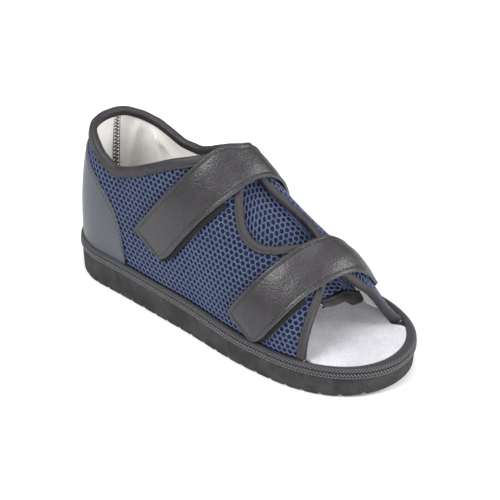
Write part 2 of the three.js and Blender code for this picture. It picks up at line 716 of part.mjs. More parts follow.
// Tongue: a flap under both wings that sags towards its free front lip.
const tongueLift = -(WALL + LINING_CLEAR + TAPE_THICKNESS + FLAP_CLEAR);
const tonguePoint = (across, station, lift) => {
  const at = station / LENGTH;
  const lateral = read(TONGUE, 'lateral', at);
  const way = lateral + (read(TONGUE, 'medial', at) - lateral) * across;
  const point = roundPoint(station, way, tongueLift + lift);
  point.z -= read(TONGUE, 'sag', at) * read(TONGUE_HOLLOW, 'sag', across) * TONGUE_SAG;
  return point;
};
const tongueStations = spread(11).map((part) => TONGUE_TOP + (TONGUE_FRONT - TONGUE_TOP) * part);
const tongue = sheet(
  tongueStations,
  spread(12),
  (station, across) => tonguePoint(across, station, 0),
  (station, across) => tonguePoint(across, station, -TONGUE_THICKNESS),
);
const lipPath = spread(12).map((across) => [across, TONGUE_FRONT]);
const tongueTape = edgeTape(
  tonguePoint,
  lipPath,
  { from: 0, to: lipPath.length },
  tapeProfile(EDGE_TAPE_WIDTH, TONGUE_THICKNESS, 1.3 * SEAM),
  1,
);

// Straps and pads: bands from a rear to a front edge round the last.
function band(table, reach, steps, low, high, edge) {
  const place = (part, across, level) => {
    const at = reach.from + (reach.to - reach.from) * part;
    const rear = read(table, 'rear', at) * LENGTH;
    const front = read(table, 'front', at) * LENGTH + edge;
    const rearWay = read(table, 'rearWay', at);
    const frontWay = read(table, 'frontWay', at);
    const station = rear + (front - rear) * across;
    const way = rearWay + (frontWay - rearWay) * across + (reach.shift ?? 0);
    return roundPoint(station, way, level(at));
  };
  return sheet(
    spread(steps),
    spread(4),
    (part, across) => place(part, across, high),
    (part, across) => place(part, across, low),
  );
}
const strapBase = SEAM + PAD_THICKNESS + 2 * CLEAR;
const strapSewn = SEAM + 2 * CLEAR;
const strapLow = (table) => (at) => strapSewn + (strapBase - strapSewn) * read(table, 'raised', at);
const strapHigh = (table) => (at) => strapLow(table)(at) + STRAP_THICKNESS;
const whole = { from: 0, to: 1 };
const instepStrap = band(INSTEP_STRAP, whole, 24, strapLow(INSTEP_STRAP), strapHigh(INSTEP_STRAP), 0);
const forefootStrap = band(FOREFOOT_STRAP, whole, 24, strapLow(FOREFOOT_STRAP), strapHigh(FOREFOOT_STRAP), 0);
const padLow = () => SEAM;
const padHigh = () => SEAM + PAD_THICKNESS;
const instepPad = band(INSTEP_STRAP, { from: PAD_END, to: 0.4 }, 8, padLow, padHigh, PAD_MARGIN);
const forefootPad = band(FOREFOOT_STRAP, { from: PAD_END, to: 0.4 }, 8, padLow, padHigh, PAD_MARGIN);

const shoe = new THREE.Group();
shoe.add(
  outsole.mesh('outsole', { color: 0x2b2a2c, roughness: 0.75, metalness: 0 }),
  platform.mesh('platform', { color: 0x232326, roughness: 0.9, metalness: 0 }),
  rim.mesh('rim', { color: 0x262527, roughness: 0.6, metalness: 0 }),
  insole.mesh('insole', { color: 0xc9c9d2, roughness: 0.95, metalness: 0 }),
  upper.mesh('upper', { color: 0x3a4560, roughness: 0.9, metalness: 0 }),
  counter.mesh('heel_counter', { color: 0x55575e, roughness: 0.5, metalness: 0 }),
  collarTape.mesh('collar_binding', { color: 0x2c2a2c, roughness: 0.6, metalness: 0 }),
  lateralTape.mesh('lateral_throat_binding', { color: 0x3c3a3b, roughness: 0.6, metalness: 0 }),
  medialTape.mesh('medial_throat_binding', { color: 0x3c3a3b, roughness: 0.6, metalness: 0 }),
  tongue.mesh('tongue', { color: 0x3a4560, roughness: 0.9, metalness: 0 }),
  tongueTape.mesh('tongue_binding', { color: 0x333234, roughness: 0.7, metalness: 0 }),
  instepPad.mesh('instep_loop_pad', { color: 0x1c1c1e, roughness: 0.95, metalness: 0 }),
  forefootPad.mesh('forefoot_loop_pad', { color: 0x1c1c1e, roughness: 0.95, metalness: 0 }),
  instepStrap.mesh('instep_strap', { color: 0x3f3c3c, roughness: 0.45, metalness: 0 }),
  forefootStrap.mesh('forefoot_strap', { color: 0x3f3c3c, roughness: 0.45, metalness: 0 }),
);

export default shoe;
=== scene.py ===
import math

import bmesh
import bpy
import numpy as np
from mathutils import Matrix


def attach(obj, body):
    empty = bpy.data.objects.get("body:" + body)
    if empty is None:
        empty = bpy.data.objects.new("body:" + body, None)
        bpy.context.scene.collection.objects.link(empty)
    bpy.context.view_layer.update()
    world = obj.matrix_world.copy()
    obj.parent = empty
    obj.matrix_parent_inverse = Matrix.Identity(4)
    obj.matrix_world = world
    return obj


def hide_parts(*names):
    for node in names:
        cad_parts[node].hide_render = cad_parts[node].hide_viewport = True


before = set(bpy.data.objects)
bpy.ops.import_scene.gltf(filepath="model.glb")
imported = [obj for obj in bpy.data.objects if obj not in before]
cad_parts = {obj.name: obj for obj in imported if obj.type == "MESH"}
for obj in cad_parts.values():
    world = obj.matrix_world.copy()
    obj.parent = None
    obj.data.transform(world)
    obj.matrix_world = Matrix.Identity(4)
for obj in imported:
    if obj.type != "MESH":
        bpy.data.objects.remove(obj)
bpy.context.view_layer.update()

# The outsole
# One slab of black moulded foam under the whole foot, cut to the shoe's outline, with a soft lower
# edge and shallow notches straight across its underside for grip.
LENGTH = 285
BALL_WIDTH = 108
HEEL_ROUND = 44
TOE_ROUND = 75
HEEL_FULLNESS = 2.2
TOE_FULLNESS = 2.13
HEEL_THICKNESS = 21.8
TOE_SPRING = 3
SOLE_STEP = 1.4
OUTLINE = {
    "at": [0.0, 0.16, 0.42, 0.68, 0.86, 1.0],
    "half": [0.394, 0.398, 0.435, 0.5, 0.495, 0.491],
    "centre": [0.0, -0.011, -0.022, -0.019, -0.006, 0.014],
}
SIDE_WALL = {
    "at": [0.0, 0.21, 0.47, 0.58, 0.68, 1.0],
    "height": [1.0, 0.963, 0.89, 0.798, 0.734, 0.716],
}
SPRING = {"at": [0.0, 0.84, 0.895, 0.947, 1.0], "lift": [0.0, 0.0, 0.13, 0.45, 1.0]}


def read(table, column, at):
    """Reads a column of a table between its rows, on a smooth curve that never overshoots."""
    places, values = np.array(table["at"], float), np.array(table[column], float)
    step = np.diff(places)
    slope = np.diff(values) / step
    bend = np.zeros(len(values))
    bend[0], bend[-1] = slope[0], slope[-1]
    for i in range(1, len(step)):
        if slope[i - 1] * slope[i] > 0:
            near, far = 2 * step[i] + step[i - 1], step[i] + 2 * step[i - 1]
            bend[i] = (near + far) / (near / slope[i - 1] + far / slope[i])
    at = np.clip(at, places[0], places[-1])
    k = np.clip(np.searchsorted(places, at) - 1, 0, len(step) - 1)
    u = (at - places[k]) / step[k]
    start = values[k] * (1 + 2 * u) * (1 - u) ** 2 + values[k + 1] * u * u * (3 - 2 * u)
    return start + step[k] * u * (1 - u) * (bend[k] * (1 - u) - bend[k + 1] * u)


def outline(station, side):
    """The sole's outline at a distance from the heel, on one side (-1 outer, 1 inner)."""
    station = np.asarray(station, float)
    turn = np.clip(station / HEEL_ROUND, 0, 1) * np.pi / 2
    heel = station < HEEL_ROUND
    x = np.where(heel, HEEL_ROUND * (1 - np.cos(turn) ** (2 / HEEL_FULLNESS)), station)
    end = np.where(heel, np.sin(turn) ** (2 / HEEL_FULLNESS), 1.0)
    reach = np.clip((x - (LENGTH - TOE_ROUND)) / TOE_ROUND, 0, 1)
    end = end * (1 - reach**TOE_FULLNESS) ** (1 / TOE_FULLNESS)
    half = read(OUTLINE, "half", x / LENGTH) * BALL_WIDTH * end
    centre = read(OUTLINE, "centre", x / LENGTH) * BALL_WIDTH
    return np.stack([x, centre + side * half], -1)


def moved_in(station, side, inset):
    """The same outline, moved inward by so many millimetres."""
    station = np.asarray(station, float)
    along = outline(np.minimum(station + 0.5, LENGTH), side) - outline(np.maximum(station - 0.5, 0), side)
    along /= np.linalg.norm(along, axis=-1, keepdims=True)
    inward = np.stack([along[..., 1], -along[..., 0]], -1) * np.asarray(side)[..., None]
    inward = np.where((station < 1e-6)[..., None], [1.0, 0.0], inward)
    inward = np.where((station > LENGTH - 1e-6)[..., None], [-1.0, 0.0], inward)
    return outline(station, side) + inward * np.asarray(inset)[..., None]


def side_top(x):
    return read(SIDE_WALL, "height", x / LENGTH) * HEEL_THICKNESS


def piece(name, points, faces, finishes, run=None, finish_of=None, crease=42, solid=True):
    """Makes one piece from points in millimetres, with the back of the heel at X = 0."""
    mesh = bpy.data.meshes.new(name)
    made = bpy.data.objects.new(name, mesh)
    bpy.context.scene.collection.objects.link(made)
    places = (np.asarray(points, float).reshape(-1, 3) - (LENGTH / 2, 0, 0)) / 1000
    mesh.from_pydata(places.tolist(), [], [list(map(int, face)) for face in faces])
    if run is not None:
        way = mesh.attributes.new("run", "FLOAT_VECTOR", "POINT")
        way.data.foreach_set("vector", np.asarray(run, np.float32).ravel())
    for finish in finishes:
        mesh.materials.append(finish.material)
    if finish_of is not None:
        mesh.polygons.foreach_set("material_index", np.asarray(finish_of, np.int32))
    if solid:
        shell = bmesh.new()
        shell.from_mesh(mesh)
        bmesh.ops.recalc_face_normals(shell, faces=shell.faces)
        shell.to_mesh(mesh)
        shell.free()
    mesh.shade_smooth()
    mesh.set_sharp_from_angle(angle=math.radians(crease))
    mesh.update()
    return made


def round_sole(stations):
    """Down the outer side and back up the inner: the stations, their sides and the way walked."""
    count = len(stations)
    order = np.r_[np.arange(count), np.arange(count - 2, 0, -1)]
    side = np.r_[-np.ones(count), np.ones(count - 2)]
    turns = stations[order]
    step = np.diff(outline(turns, side), axis=0, append=outline(turns[:1], side[:1]))
    return turns, side, np.cumsum(np.linalg.norm(step, axis=1))


def hoop(low, high, size):
    """Faces that join one ring of points to another."""
    return [(low + i, low + (i + 1) % size, high + (i + 1) % size, high + i) for i in range(size)]


def slab(name, stations, levels, finishes):
    """A slab with the sole's outline: one ring of points per level, closed below and above."""
    count = len(stations)
    turns, side, far = round_sole(stations)
    rings, runs = [], []
    for inset, height in levels:
        flat = moved_in(turns, side, inset(turns, side) if callable(inset) else inset)
        tall = height(outline(turns, side)[:, 0])
        rings.append(np.column_stack([flat, tall]))
        runs.append(np.column_stack([far, tall - side_top(flat[:, 0]), side]))
    size = len(turns)
    faces = []
    for level in range(len(levels) - 1):
        faces += hoop(level * size, (level + 1) * size, size)
    for start in (0, (len(levels) - 1) * size):
        faces.append((start, start + 1, start + size - 1))
        for i in range(1, count - 2):
            faces.append((start + i, start + i + 1, start + size - i - 1, start + size - i))
        faces.append((start + count - 2, start + count - 1, start + count))
    return piece(name, np.concatenate(rings), faces, finishes, np.concatenate(runs))


class Value:
    """A value or colour on a surface. Python's own operators work on it."""

    def __init__(self, finish, socket):
        self.finish, self.socket = finish, socket

    def maths(self, operation, first, second=None):
        return self.finish.node("ShaderNodeMath", {"operation": operation}, {0: first, 1: second})

    def __add__(self, other):
        return self.maths("ADD", self, other)

    def __sub__(self, other):
        return self.maths("SUBTRACT", self, other)

    def __mul__(self, other):
        return self.maths("MULTIPLY", self, other)

    def __rsub__(self, other):
        return self.maths("SUBTRACT", other, self)

    __radd__, __rmul__ = __add__, __mul__

    def wave(self):
        return self.maths("SINE", self)

    def size(self):
        return self.maths("ABSOLUTE", self)

    def ramp(self, low, high, start=0.0, end=1.0):
        sockets = {"Value": self, "From Min": low, "From Max": high, "To Min": start, "To Max": end}
        settings = {"interpolation_type": "SMOOTHSTEP"}
        return self.finish.node("ShaderNodeMapRange", settings, sockets)


class Finish:
    """One finish: a material whose nodes paint it by the millimetre."""

    def __init__(self, name, roughness, sheen=0.0, coat=0.0, specular=0.5):
        self.material = bpy.data.materials.new(name)
        self.material.use_nodes = True
        self.material.node_tree.nodes.clear()
        sockets = {"Roughness": roughness, "Sheen Weight": sheen, "Coat Weight": coat}
        sockets["Specular IOR Level"] = specular
        self.skin = self.node("ShaderNodeBsdfPrincipled", {}, sockets).socket.node
        end = self.node("ShaderNodeOutputMaterial", {}, {}, out=None)
        self.material.node_tree.links.new(self.skin.outputs[0], end.inputs["Surface"])
        self.height = None

    def node(self, kind, settings, sockets, out=0):
        """Adds a node: its settings first, then a value or a link for each socket it names."""
        made = self.material.node_tree.nodes.new(kind)
        for key, setting in settings.items():
            setattr(made, key, setting)
        for key, value in sockets.items():
            if isinstance(value, Value):
                self.material.node_tree.links.new(value.socket, made.inputs[key])
            elif value is not None:
                made.inputs[key].default_value = value
        return made if out is None else Value(self, made.outputs[out])

    def place(self):
        return self.node("ShaderNodeTexCoord", {}, {}, "Object")

    def run(self, axis):
        way = self.node("ShaderNodeAttribute", {"attribute_name": "run"}, {}, "Vector")
        return self.node("ShaderNodeSeparateXYZ", {}, {0: way}, axis)

    def cloud(self, across, detail=3.0, rough=0.55):
        sockets = {"Vector": self.place(), "Scale": 1000 / across, "Detail": detail, "Roughness": rough}
        return self.node("ShaderNodeTexNoise", {}, sockets)

    def cells(self, across):
        sockets = {"Vector": self.place(), "Scale": 1000 / across}
        return self.node("ShaderNodeTexVoronoi", {"feature": "SMOOTH_F1"}, sockets)

    def between(self, amount, first, second):
        first, second = [(*tone, 1) if isinstance(tone, tuple) else tone for tone in (first, second)]
        return self.node("ShaderNodeMix", {"data_type": "RGBA"}, {0: amount, 6: first, 7: second}, 2)

    def colour(self, amount, first, second):
        self.paint("Base Color", self.between(amount, first, second))

    def paint(self, socket, value):
        if isinstance(value, Value):
            self.material.node_tree.links.new(value.socket, self.skin.inputs[socket])
        else:
            self.skin.inputs[socket].default_value = value

    def relief(self, value, depth):
        """Raises the surface by value times depth, in millimetres."""
        sockets = {"Height": value, "Distance": depth / 1000, "Strength": 1.0}
        if self.height is not None:
            sockets["Normal"] = self.height
        self.height = self.node("ShaderNodeBump", {}, sockets, "Normal")
        self.paint("Normal", self.height)


def way_along(grid, axis):
    """Distance walked over a grid of points, along its rows or its columns."""
    step = np.linalg.norm(np.diff(grid, axis=axis), axis=-1)
    start = np.zeros_like(np.take(step, [0], axis=axis))
    return np.concatenate([start, np.cumsum(step, axis=axis)], axis=axis)


def ring_stations(step):
    heel = np.linspace(0, HEEL_ROUND, int(70 / step) + 1)
    waist = np.arange(HEEL_ROUND, LENGTH - TOE_ROUND, step)
    toe = LENGTH - TOE_ROUND + TOE_ROUND * np.sin(np.linspace(0, np.pi / 2, int(100 / step) + 1))
    return np.r_[heel[:-1], waist, toe]


foam = Finish("sole_foam", 0.8, specular=0.25)
mottle = foam.cloud(14, 5, 0.65)
pits = foam.cloud(1.6, 4, 0.7)
foam.colour(mottle.ramp(0.3, 0.75), (0.0155, 0.0145, 0.0155), (0.041, 0.0385, 0.04))
foam.paint("Roughness", pits.ramp(0.3, 0.7, 0.68, 0.9))
foam.relief(pits, 0.5)
foam.relief(mottle, 0.9)

NOTCH_PITCH = 12.4
NOTCH_HALF = 1.6
NOTCH_DEPTH = 1.3
NOTCH_FLANK = 0.9
NOTCH_ROWS = 11


def underside(x):
    """Height of the underside: its toe spring and the notches across it."""
    pitches = (x - LENGTH / 2) / NOTCH_PITCH
    gap = np.abs(pitches - np.floor(pitches) - 0.5) * NOTCH_PITCH
    inside = np.abs(x - LENGTH / 2) < NOTCH_ROWS * NOTCH_PITCH
    cut = NOTCH_DEPTH * np.clip((NOTCH_HALF - gap) / NOTCH_FLANK, 0, 1) * inside
    return read(SPRING, "lift", x / LENGTH) * TOE_SPRING + cut


def sole_level(part, below=0.0):
    return lambda x: (side_top(x) - below) * part + (underside(x) + 1.0) * (1 - part)


outsole = slab(
    "outsole_foam",
    ring_stations(0.8),
    [
        (SOLE_STEP + 2.4, underside),
        (SOLE_STEP + 1.2, lambda x: underside(x) + 0.1),
        (SOLE_STEP + 0.55, lambda x: underside(x) + 0.5),
        (SOLE_STEP + 0.2, lambda x: underside(x) + 1.3),
        (SOLE_STEP, sole_level(0.25)),
        (SOLE_STEP - 0.15, sole_level(0.6)),
        (SOLE_STEP, sole_level(1.0, 1.6)),
        (SOLE_STEP + 0.3, sole_level(1.0, 0.5)),
        (SOLE_STEP + 1.2, side_top),
    ],
    [foam],
)
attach(outsole, "root")
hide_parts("outsole")

# The platform band
# A slip of board over the outsole, wrapped in black cloth whose two rows of slanting ribs meet in a
# chevron all round its edge. It is glued down between the outsole and the rim.
CLEAR = 0.3
BAND_HEIGHT = 5
RIB_PITCH = 2.3
RIB_SLANT = 1.1

ribs = Finish("ribbed_cloth", 0.85, sheen=0.25, specular=0.3)
up_band = ribs.run("Y") - CLEAR
row = (up_band - BAND_HEIGHT / 2).size()
rib = ((ribs.run("X") + row * RIB_SLANT) * (2 * math.pi / RIB_PITCH)).wave()
fuzz = ribs.cloud(0.7, 3)
lit = rib.ramp(-0.5, 0.8) * row.ramp(0.15, 0.6) * (up_band.ramp(0.2, 0.7) * up_band.ramp(4.9, 4.4))
ribs.colour(lit, (0.004, 0.004, 0.005), (0.085, 0.085, 0.095))
ribs.relief(lit, 0.7)
ribs.relief(fuzz, 0.2)


def platform_top(x):
    return side_top(x) + CLEAR + BAND_HEIGHT


def band_level(up):
    return lambda x: side_top(x) + CLEAR + up


platform = slab(
    "platform_band",
    ring_stations(1.2),
    [
        (SOLE_STEP + 1.5, band_level(0)),
        (SOLE_STEP * 0.75, band_level(0.1)),
        (0.35, band_level(0.7)),
        (0.1, band_level(1.5)),
        (0.35, band_level(2.5)),
        (0.1, band_level(3.5)),
        (0.35, band_level(4.3)),
        (1.1, band_level(4.9)),
        (2.2, band_level(5)),
    ],
    [ribs],
)
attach(platform, "root")
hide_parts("platform")

# The rim
# A black leatherette strip laid flat round the platform's top, from its rounded and ribbed outer edge
# in to the foot of the upper, and open to the insole ahead of the toes.
RIM_HEIGHT = 1.9
SEAM = 0.38
SEAT = {
    "at": [0.0, 0.154, 0.35, 0.526, 0.842, 0.93, 1.0],
    "inset": [0.031, 0.043, 0.042, 0.049, 0.051, 0.059, 0.076],
}

rim_skin = Finish("rim_skin", 0.75, sheen=0.15, specular=0.25)
flecks = rim_skin.cloud(0.8, 3, 0.7)
tone = rim_skin.cloud(9, 3)
over_rim = rim_skin.run("Y")
rim_rib = ((rim_skin.run("X") - over_rim * RIB_SLANT) * (2 * math.pi / RIB_PITCH)).wave()
rim_lit = rim_rib.ramp(-0.5, 0.8) * (over_rim.ramp(0.5, 1.0) * over_rim.ramp(4.6, 3.6))
plain = rim_skin.between(tone, (0.009, 0.009, 0.01), (0.02, 0.0195, 0.021))
flecked = rim_skin.between(flecks.ramp(0.5, 0.8, 0.0, 0.6), plain, (0.06, 0.06, 0.066))
rim_skin.colour(rim_lit, flecked, (0.085, 0.085, 0.095))
rim_skin.relief(rim_lit, 0.5)
rim_skin.relief(flecks, 0.35)
rim_skin.relief(rim_skin.cloud(5, 2), 0.3)


def rim_base(x):
    return platform_top(x) + CLEAR


def seat_inset(station):
    return read(SEAT, "inset", station / LENGTH) * BALL_WIDTH


def rim_ring(stations):
    """The rim's closed section, carried once round the sole."""
    turns, side, far = round_sole(stations)
    inner = seat_inset(turns) - SEAM
    base = rim_base(outline(turns, side)[:, 0])
    profile = [
        (1.3, 0.0),
        (0.75, 0.25),
        (0.45, 0.8),
        (0.55, 1.4),
        (1.0, 1.9),
        (1.8, RIM_HEIGHT + 0.28),
        (inner * 0.65 + 0.8, RIM_HEIGHT + 0.15),
        (inner - 0.3, RIM_HEIGHT),
        (inner, RIM_HEIGHT - 0.35),
        (inner, 0.0),
    ]
    rings = [np.column_stack([moved_in(turns, side, inset), base + up]) for inset, up in profile]
    over = way_along(np.stack(rings), 0)
    run = np.stack([np.broadcast_to(far - far[0], over.shape), over, 0 * over], -1)
    size, around = len(turns), len(profile)
    faces = []
    for k in range(around):
        faces += hoop(k * size, (k + 1) % around * size, size)
    return np.concatenate(rings), faces, run.reshape(-1, 3)


rim_points, rim_faces, rim_run = rim_ring(ring_stations(1.6))
rim = piece("rim_strip", rim_points, rim_faces, [rim_skin], rim_run)
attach(rim, "root")
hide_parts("rim")

# The insole
# A thin foam board faced with pale grey brushed felt. It fills the upper and widens to the rim
# where the toes are open, and its edge is pressed down all round.
INSOLE_THICKNESS = 1.5
WALL = 2.4
LATERAL_FRONT = 235
MEDIAL_FRONT = 263

felt = Finish("insole_felt", 0.95, sheen=0.5, specular=0.2)
nap = felt.cloud(0.8, 4, 0.7)
speck = felt.cloud(1.3, 2, 0.6)
shade = felt.cloud(22, 2)
pale = felt.between(shade.ramp(0.35, 0.7), (0.4, 0.4, 0.425), (0.48, 0.48, 0.505))
felt.colour(speck.ramp(0.5, 0.66, 0.0, 0.55), pale, (0.27, 0.28, 0.33))
felt.relief(nap, 0.35)
felt.relief(shade, 0.8)


def soft_step(value, low, high):
    part = np.clip((value - low) / (high - low), 0, 1)
    return part * part * (3 - 2 * part)


def insole_inset(station, side):
    front = np.where(side < 0, LATERAL_FRONT, MEDIAL_FRONT)
    in_wing = 1 - soft_step(station, front + 1, front + 8)
    lean = np.where(side < 0, 0, 6 * soft_step(station, 0.82 * LENGTH, 0.89 * LENGTH))
    return seat_inset(station) + (WALL + lean + 0.5) * in_wing


insole = slab(
    "insole_board",
    ring_stations(1.6),
    [
        (insole_inset, rim_base),
        (insole_inset, lambda x: rim_base(x) + INSOLE_THICKNESS * 0.6),
        (lambda s, side: insole_inset(s, side) + 0.35, lambda x: rim_base(x) + INSOLE_THICKNESS * 0.93),
        (lambda s, side: insole_inset(s, side) + 1.2, lambda x: rim_base(x) + INSOLE_THICKNESS),
    ],
    [felt],
)
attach(insole, "root")
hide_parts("insole")

# The upper's wall
# One padded wall round the foot: a dark foam core faced outside with open blue mesh and inside with
# cream brushed cotton. It stands on the platform, with a few soft creases at ankle and instep.
INSTEP_HEIGHT = 128
COLLAR_FRONT = 138
LAST = {
    "at": [0.154, 0.351, 0.46, 0.519, 0.586, 0.649, 0.726, 0.8, 0.842, 0.877, 0.919, 1.0],
    "ridge": [1.297, 1.25, 1.117, 1.0, 0.875, 0.773, 0.672, 0.582, 0.492, 0.406, 0.312, 0.234],
    "line": [0.0, 0.009, 0.023, 0.028, 0.037, 0.042, 0.046, 0.046, 0.046, 0.046, 0.042, 0.037],
    "flat": [0, 0, 0.12, 0.42, 0.48, 0.48, 0.48, 0.52, 0.65, 1, 1, 1],
}
LATERAL_TOP = {
    "at": [0.0, 0.07, 0.119, 0.158, 0.193, 0.225, 0.302, 0.393, 0.442, 0.484, 0.519]
    + [0.543, 0.571, 0.591, 0.611, 0.633, 0.667, 0.713, 0.751, 0.796, 0.825],
    "rise": [0.458, 0.453, 0.427, 0.382, 0.365, 0.379, 0.445, 0.56, 0.665, 0.79, 0.82]
    + [0.761, 0.639, 0.581, 0.566, 0.575, 0.637, 0.77, 0.855, 0.855, 0.8],
}
MEDIAL_TOP = {
    "at": [0.0, 0.046, 0.098, 0.186, 0.232, 0.267, 0.347, 0.411, 0.449]
    + [0.484, 0.519, 0.547, 0.568, 0.632, 0.688, 0.723, 0.807, 0.923],
    "rise": [0.458, 0.455, 0.432, 0.38, 0.353, 0.352, 0.41, 0.505, 0.61]
    + [0.745, 0.89, 1.0, 1.055, 1.02, 0.99, 1.01, 1.07, 1.1],
}
LATERAL_SLANT = {
    "at": [0.0, 0.254, 0.447, 0.607, 0.715, 0.8],
    "back": [0.0, 0.002, 0.006, 0.012, 0.021, 0.032],
}
MEDIAL_SLANT = {
    "at": [0.0, 0.08, 0.25, 0.51, 0.7, 0.92, 1.0, 1.1],
    "back": [0.0, 0.002, 0.009, 0.025, 0.042, 0.06, 0.07, 0.105],
}
COUNTER_TOP = {
    "at": [0.0, 0.07, 0.112, 0.138, 0.158, 0.195, 0.224, 0.234],
    "rise": [0.385, 0.372, 0.325, 0.29, 0.252, 0.195, 0.1, 0.03],
}


def last_surface(around, rise):
    """The last: a point round it from the seat (0) over the ridge (1) and down the other side."""
    around, rise = np.broadcast_arrays(np.asarray(around, float), np.asarray(rise, float))
    over = rise > 1
    around, rise = np.where(over, -around, around), np.where(over, 2 - rise, rise)
    side = np.where(around < 0, -1.0, 1.0)
    station = np.abs(around)
    foot = moved_in(station, side, seat_inset(station))
    ridge_x = np.maximum(station, HEEL_ROUND)
    flat = np.where(side < 0, 0, read(LAST, "flat", ridge_x / LENGTH) * (1 - np.abs(rise) ** 3))
    turn = rise * np.pi / 2
    inward = (1 - np.cos(turn)) * (1 - flat) + rise * flat
    upward = np.sin(turn) * (1 - flat) + rise * flat
    seat = rim_base(foot[..., 0]) + RIM_HEIGHT
    ridge_y = read(LAST, "line", ridge_x / LENGTH) * BALL_WIDTH
    ridge_z = read(LAST, "ridge", ridge_x / LENGTH) * INSTEP_HEIGHT
    x = foot[..., 0] + (ridge_x - foot[..., 0]) * inward
    y = foot[..., 1] + (ridge_y - foot[..., 1]) * inward
    return np.stack([x, y, seat + (ridge_z - seat) * upward], -1)


def unit(vector):
    return vector / (np.linalg.norm(vector, axis=-1, keepdims=True) + 1e-12)


def last_normal(around, rise):
    along = last_surface(around + 0.25, rise) - last_surface(around - 0.25, rise)
    up = last_surface(around, rise + 0.002) - last_surface(around, np.maximum(rise - 0.002, 0))
    return unit(np.cross(up, along))


def last_point(around, rise, lift=0.0):
    """The same point lifted off the last, square to it."""
    around, rise = np.asarray(around, float), np.asarray(rise, float)
    lift = np.asarray(lift, float)[..., None]
    return last_surface(around, rise) + last_normal(around, rise) * lift


def slant_back(outer, rise):
    """How far the toe edge has slanted back at some rise, in millimetres."""
    return LENGTH * np.where(outer, read(LATERAL_SLANT, "back", rise), read(MEDIAL_SLANT, "back", rise))


def wing_station(column, rise):
    """Station of a column of the wall at some rise: the toe edges slant back as they rise."""
    column = np.asarray(column, float)
    outer = column < 0
    front = np.where(outer, LATERAL_FRONT, MEDIAL_FRONT)
    blend = np.where(outer, 0.16, 0.25) * LENGTH
    station = np.abs(column)
    back = slant_back(outer, rise) * soft_step(station, front - blend, front)
    return np.sign(column) * (station - back)


def wing_top(column):
    at = np.abs(column) / LENGTH
    return np.where(np.asarray(column) < 0, read(LATERAL_TOP, "rise", at), read(MEDIAL_TOP, "rise", at))


# For each crease its station (negative on the outer side), rise, slope, reach, width and depth.
CREASES = [
    (-62, 0.3, 0.9, 30, 7, -0.9),
    (-84, 0.38, 0.5, 26, 6, 0.7),
    (-128, 0.2, 1.3, 34, 8, -0.7),
    (-178, 0.3, -0.8, 26, 7, -0.7),
    (-205, 0.42, 0.5, 22, 6, 0.6),
    (72, 0.28, -0.9, 30, 7, -1.0),
    (96, 0.33, 0.8, 32, 5, 1.0),
    (58, 0.36, 0.3, 24, 6, -0.8),
    (150, 0.55, 1.0, 30, 8, -0.7),
    (214, 0.6, -0.7, 26, 7, -0.6),
]


# The lining alone bags inwards here, round the heel, along the inner quarter and by the toes.
LINING_FOLDS = [
    (20, 0.25, 4.0, 26, 4.0, -3.6),
    (41, 0.33, -5.0, 13, 2.2, -3.0),
    (52, 0.27, -0.9, 16, 3.2, -2.2),
    (66, 0.2, 0.5, 18, 4, -2.0),
    (-14, 0.3, 3.0, 20, 4, -1.4),
    (234, 0.055, 0.0, 27, 8, -7.0),
]


RISE_HEIGHT = 150
FOLD_BEND = 160


def folded(around, rise, folds):
    """How far a cloth stands out or in at its listed folds."""
    lift = 0.0
    for station, height, slope, reach, width, depth in folds:
        along, up = around - station, (rise - height) * RISE_HEIGHT
        tilt = math.atan(slope)
        far = along * math.cos(tilt) + up * math.sin(tilt)
        off = -along * math.sin(tilt) + up * math.cos(tilt) + far * far / FOLD_BEND
        lift = lift + depth * np.exp(-((far / reach) ** 2) - (off / width) ** 2)
    return lift


def creased(around, rise):
    """How far the soft wall stands out or in at its creases."""
    lift = 0.22 * np.sin(around / 13.0 + 3 * rise) * np.sin(rise * 9.0 + around / 31.0)
    return (lift + folded(around, rise, CREASES)) * soft_step(rise, 0.02, 0.12)


def sheet(name, out, back, run, finishes, crease=60):
    """A sheet between two matching grids, faced with one finish and backed with another."""
    rows, columns = out.shape[:2]
    size = rows * columns
    at = np.arange(size).reshape(rows, columns)
    front = np.stack([at[:-1, :-1], at[:-1, 1:], at[1:, 1:], at[1:, :-1]], -1).reshape(-1, 4)
    rear = front[:, ::-1] + size
    ring = np.r_[at[0, :], at[1:, -1], at[-1, -2::-1], at[-2:0:-1, 0]]
    after = np.roll(ring, -1)
    edge = np.stack([ring, ring + size, after + size, after], -1)
    kinds = np.r_[np.zeros(len(front)), np.full(len(rear), 1), np.full(len(edge), len(finishes) - 1)]
    points = np.concatenate([out.reshape(-1, 3), back.reshape(-1, 3)])
    runs = np.concatenate([run.reshape(-1, 3)] * 2)
    return piece(name, points, np.concatenate([front, rear, edge]), finishes, runs, kinds, crease)


core = Finish("mesh_core", 0.9, specular=0.2)
weave = core.cloud(0.9, 3)
core.colour(weave.ramp(0.35, 0.75), (0.003, 0.004, 0.008), (0.011, 0.015, 0.032))
core.relief(weave, 0.3)

cotton = Finish("cream_lining", 0.92, sheen=0.35, specular=0.2)
threads = (cotton.run("X") * (2 * math.pi / 1.1)).wave() + cotton.cloud(1.2, 3) * 1.6
stain = cotton.cloud(26, 3)
cotton.colour(stain.ramp(0.3, 0.7), (0.79, 0.765, 0.725), (0.9, 0.88, 0.85))
cotton.relief(threads, 0.1)
cotton.relief(cotton.cloud(11, 3), 0.7)

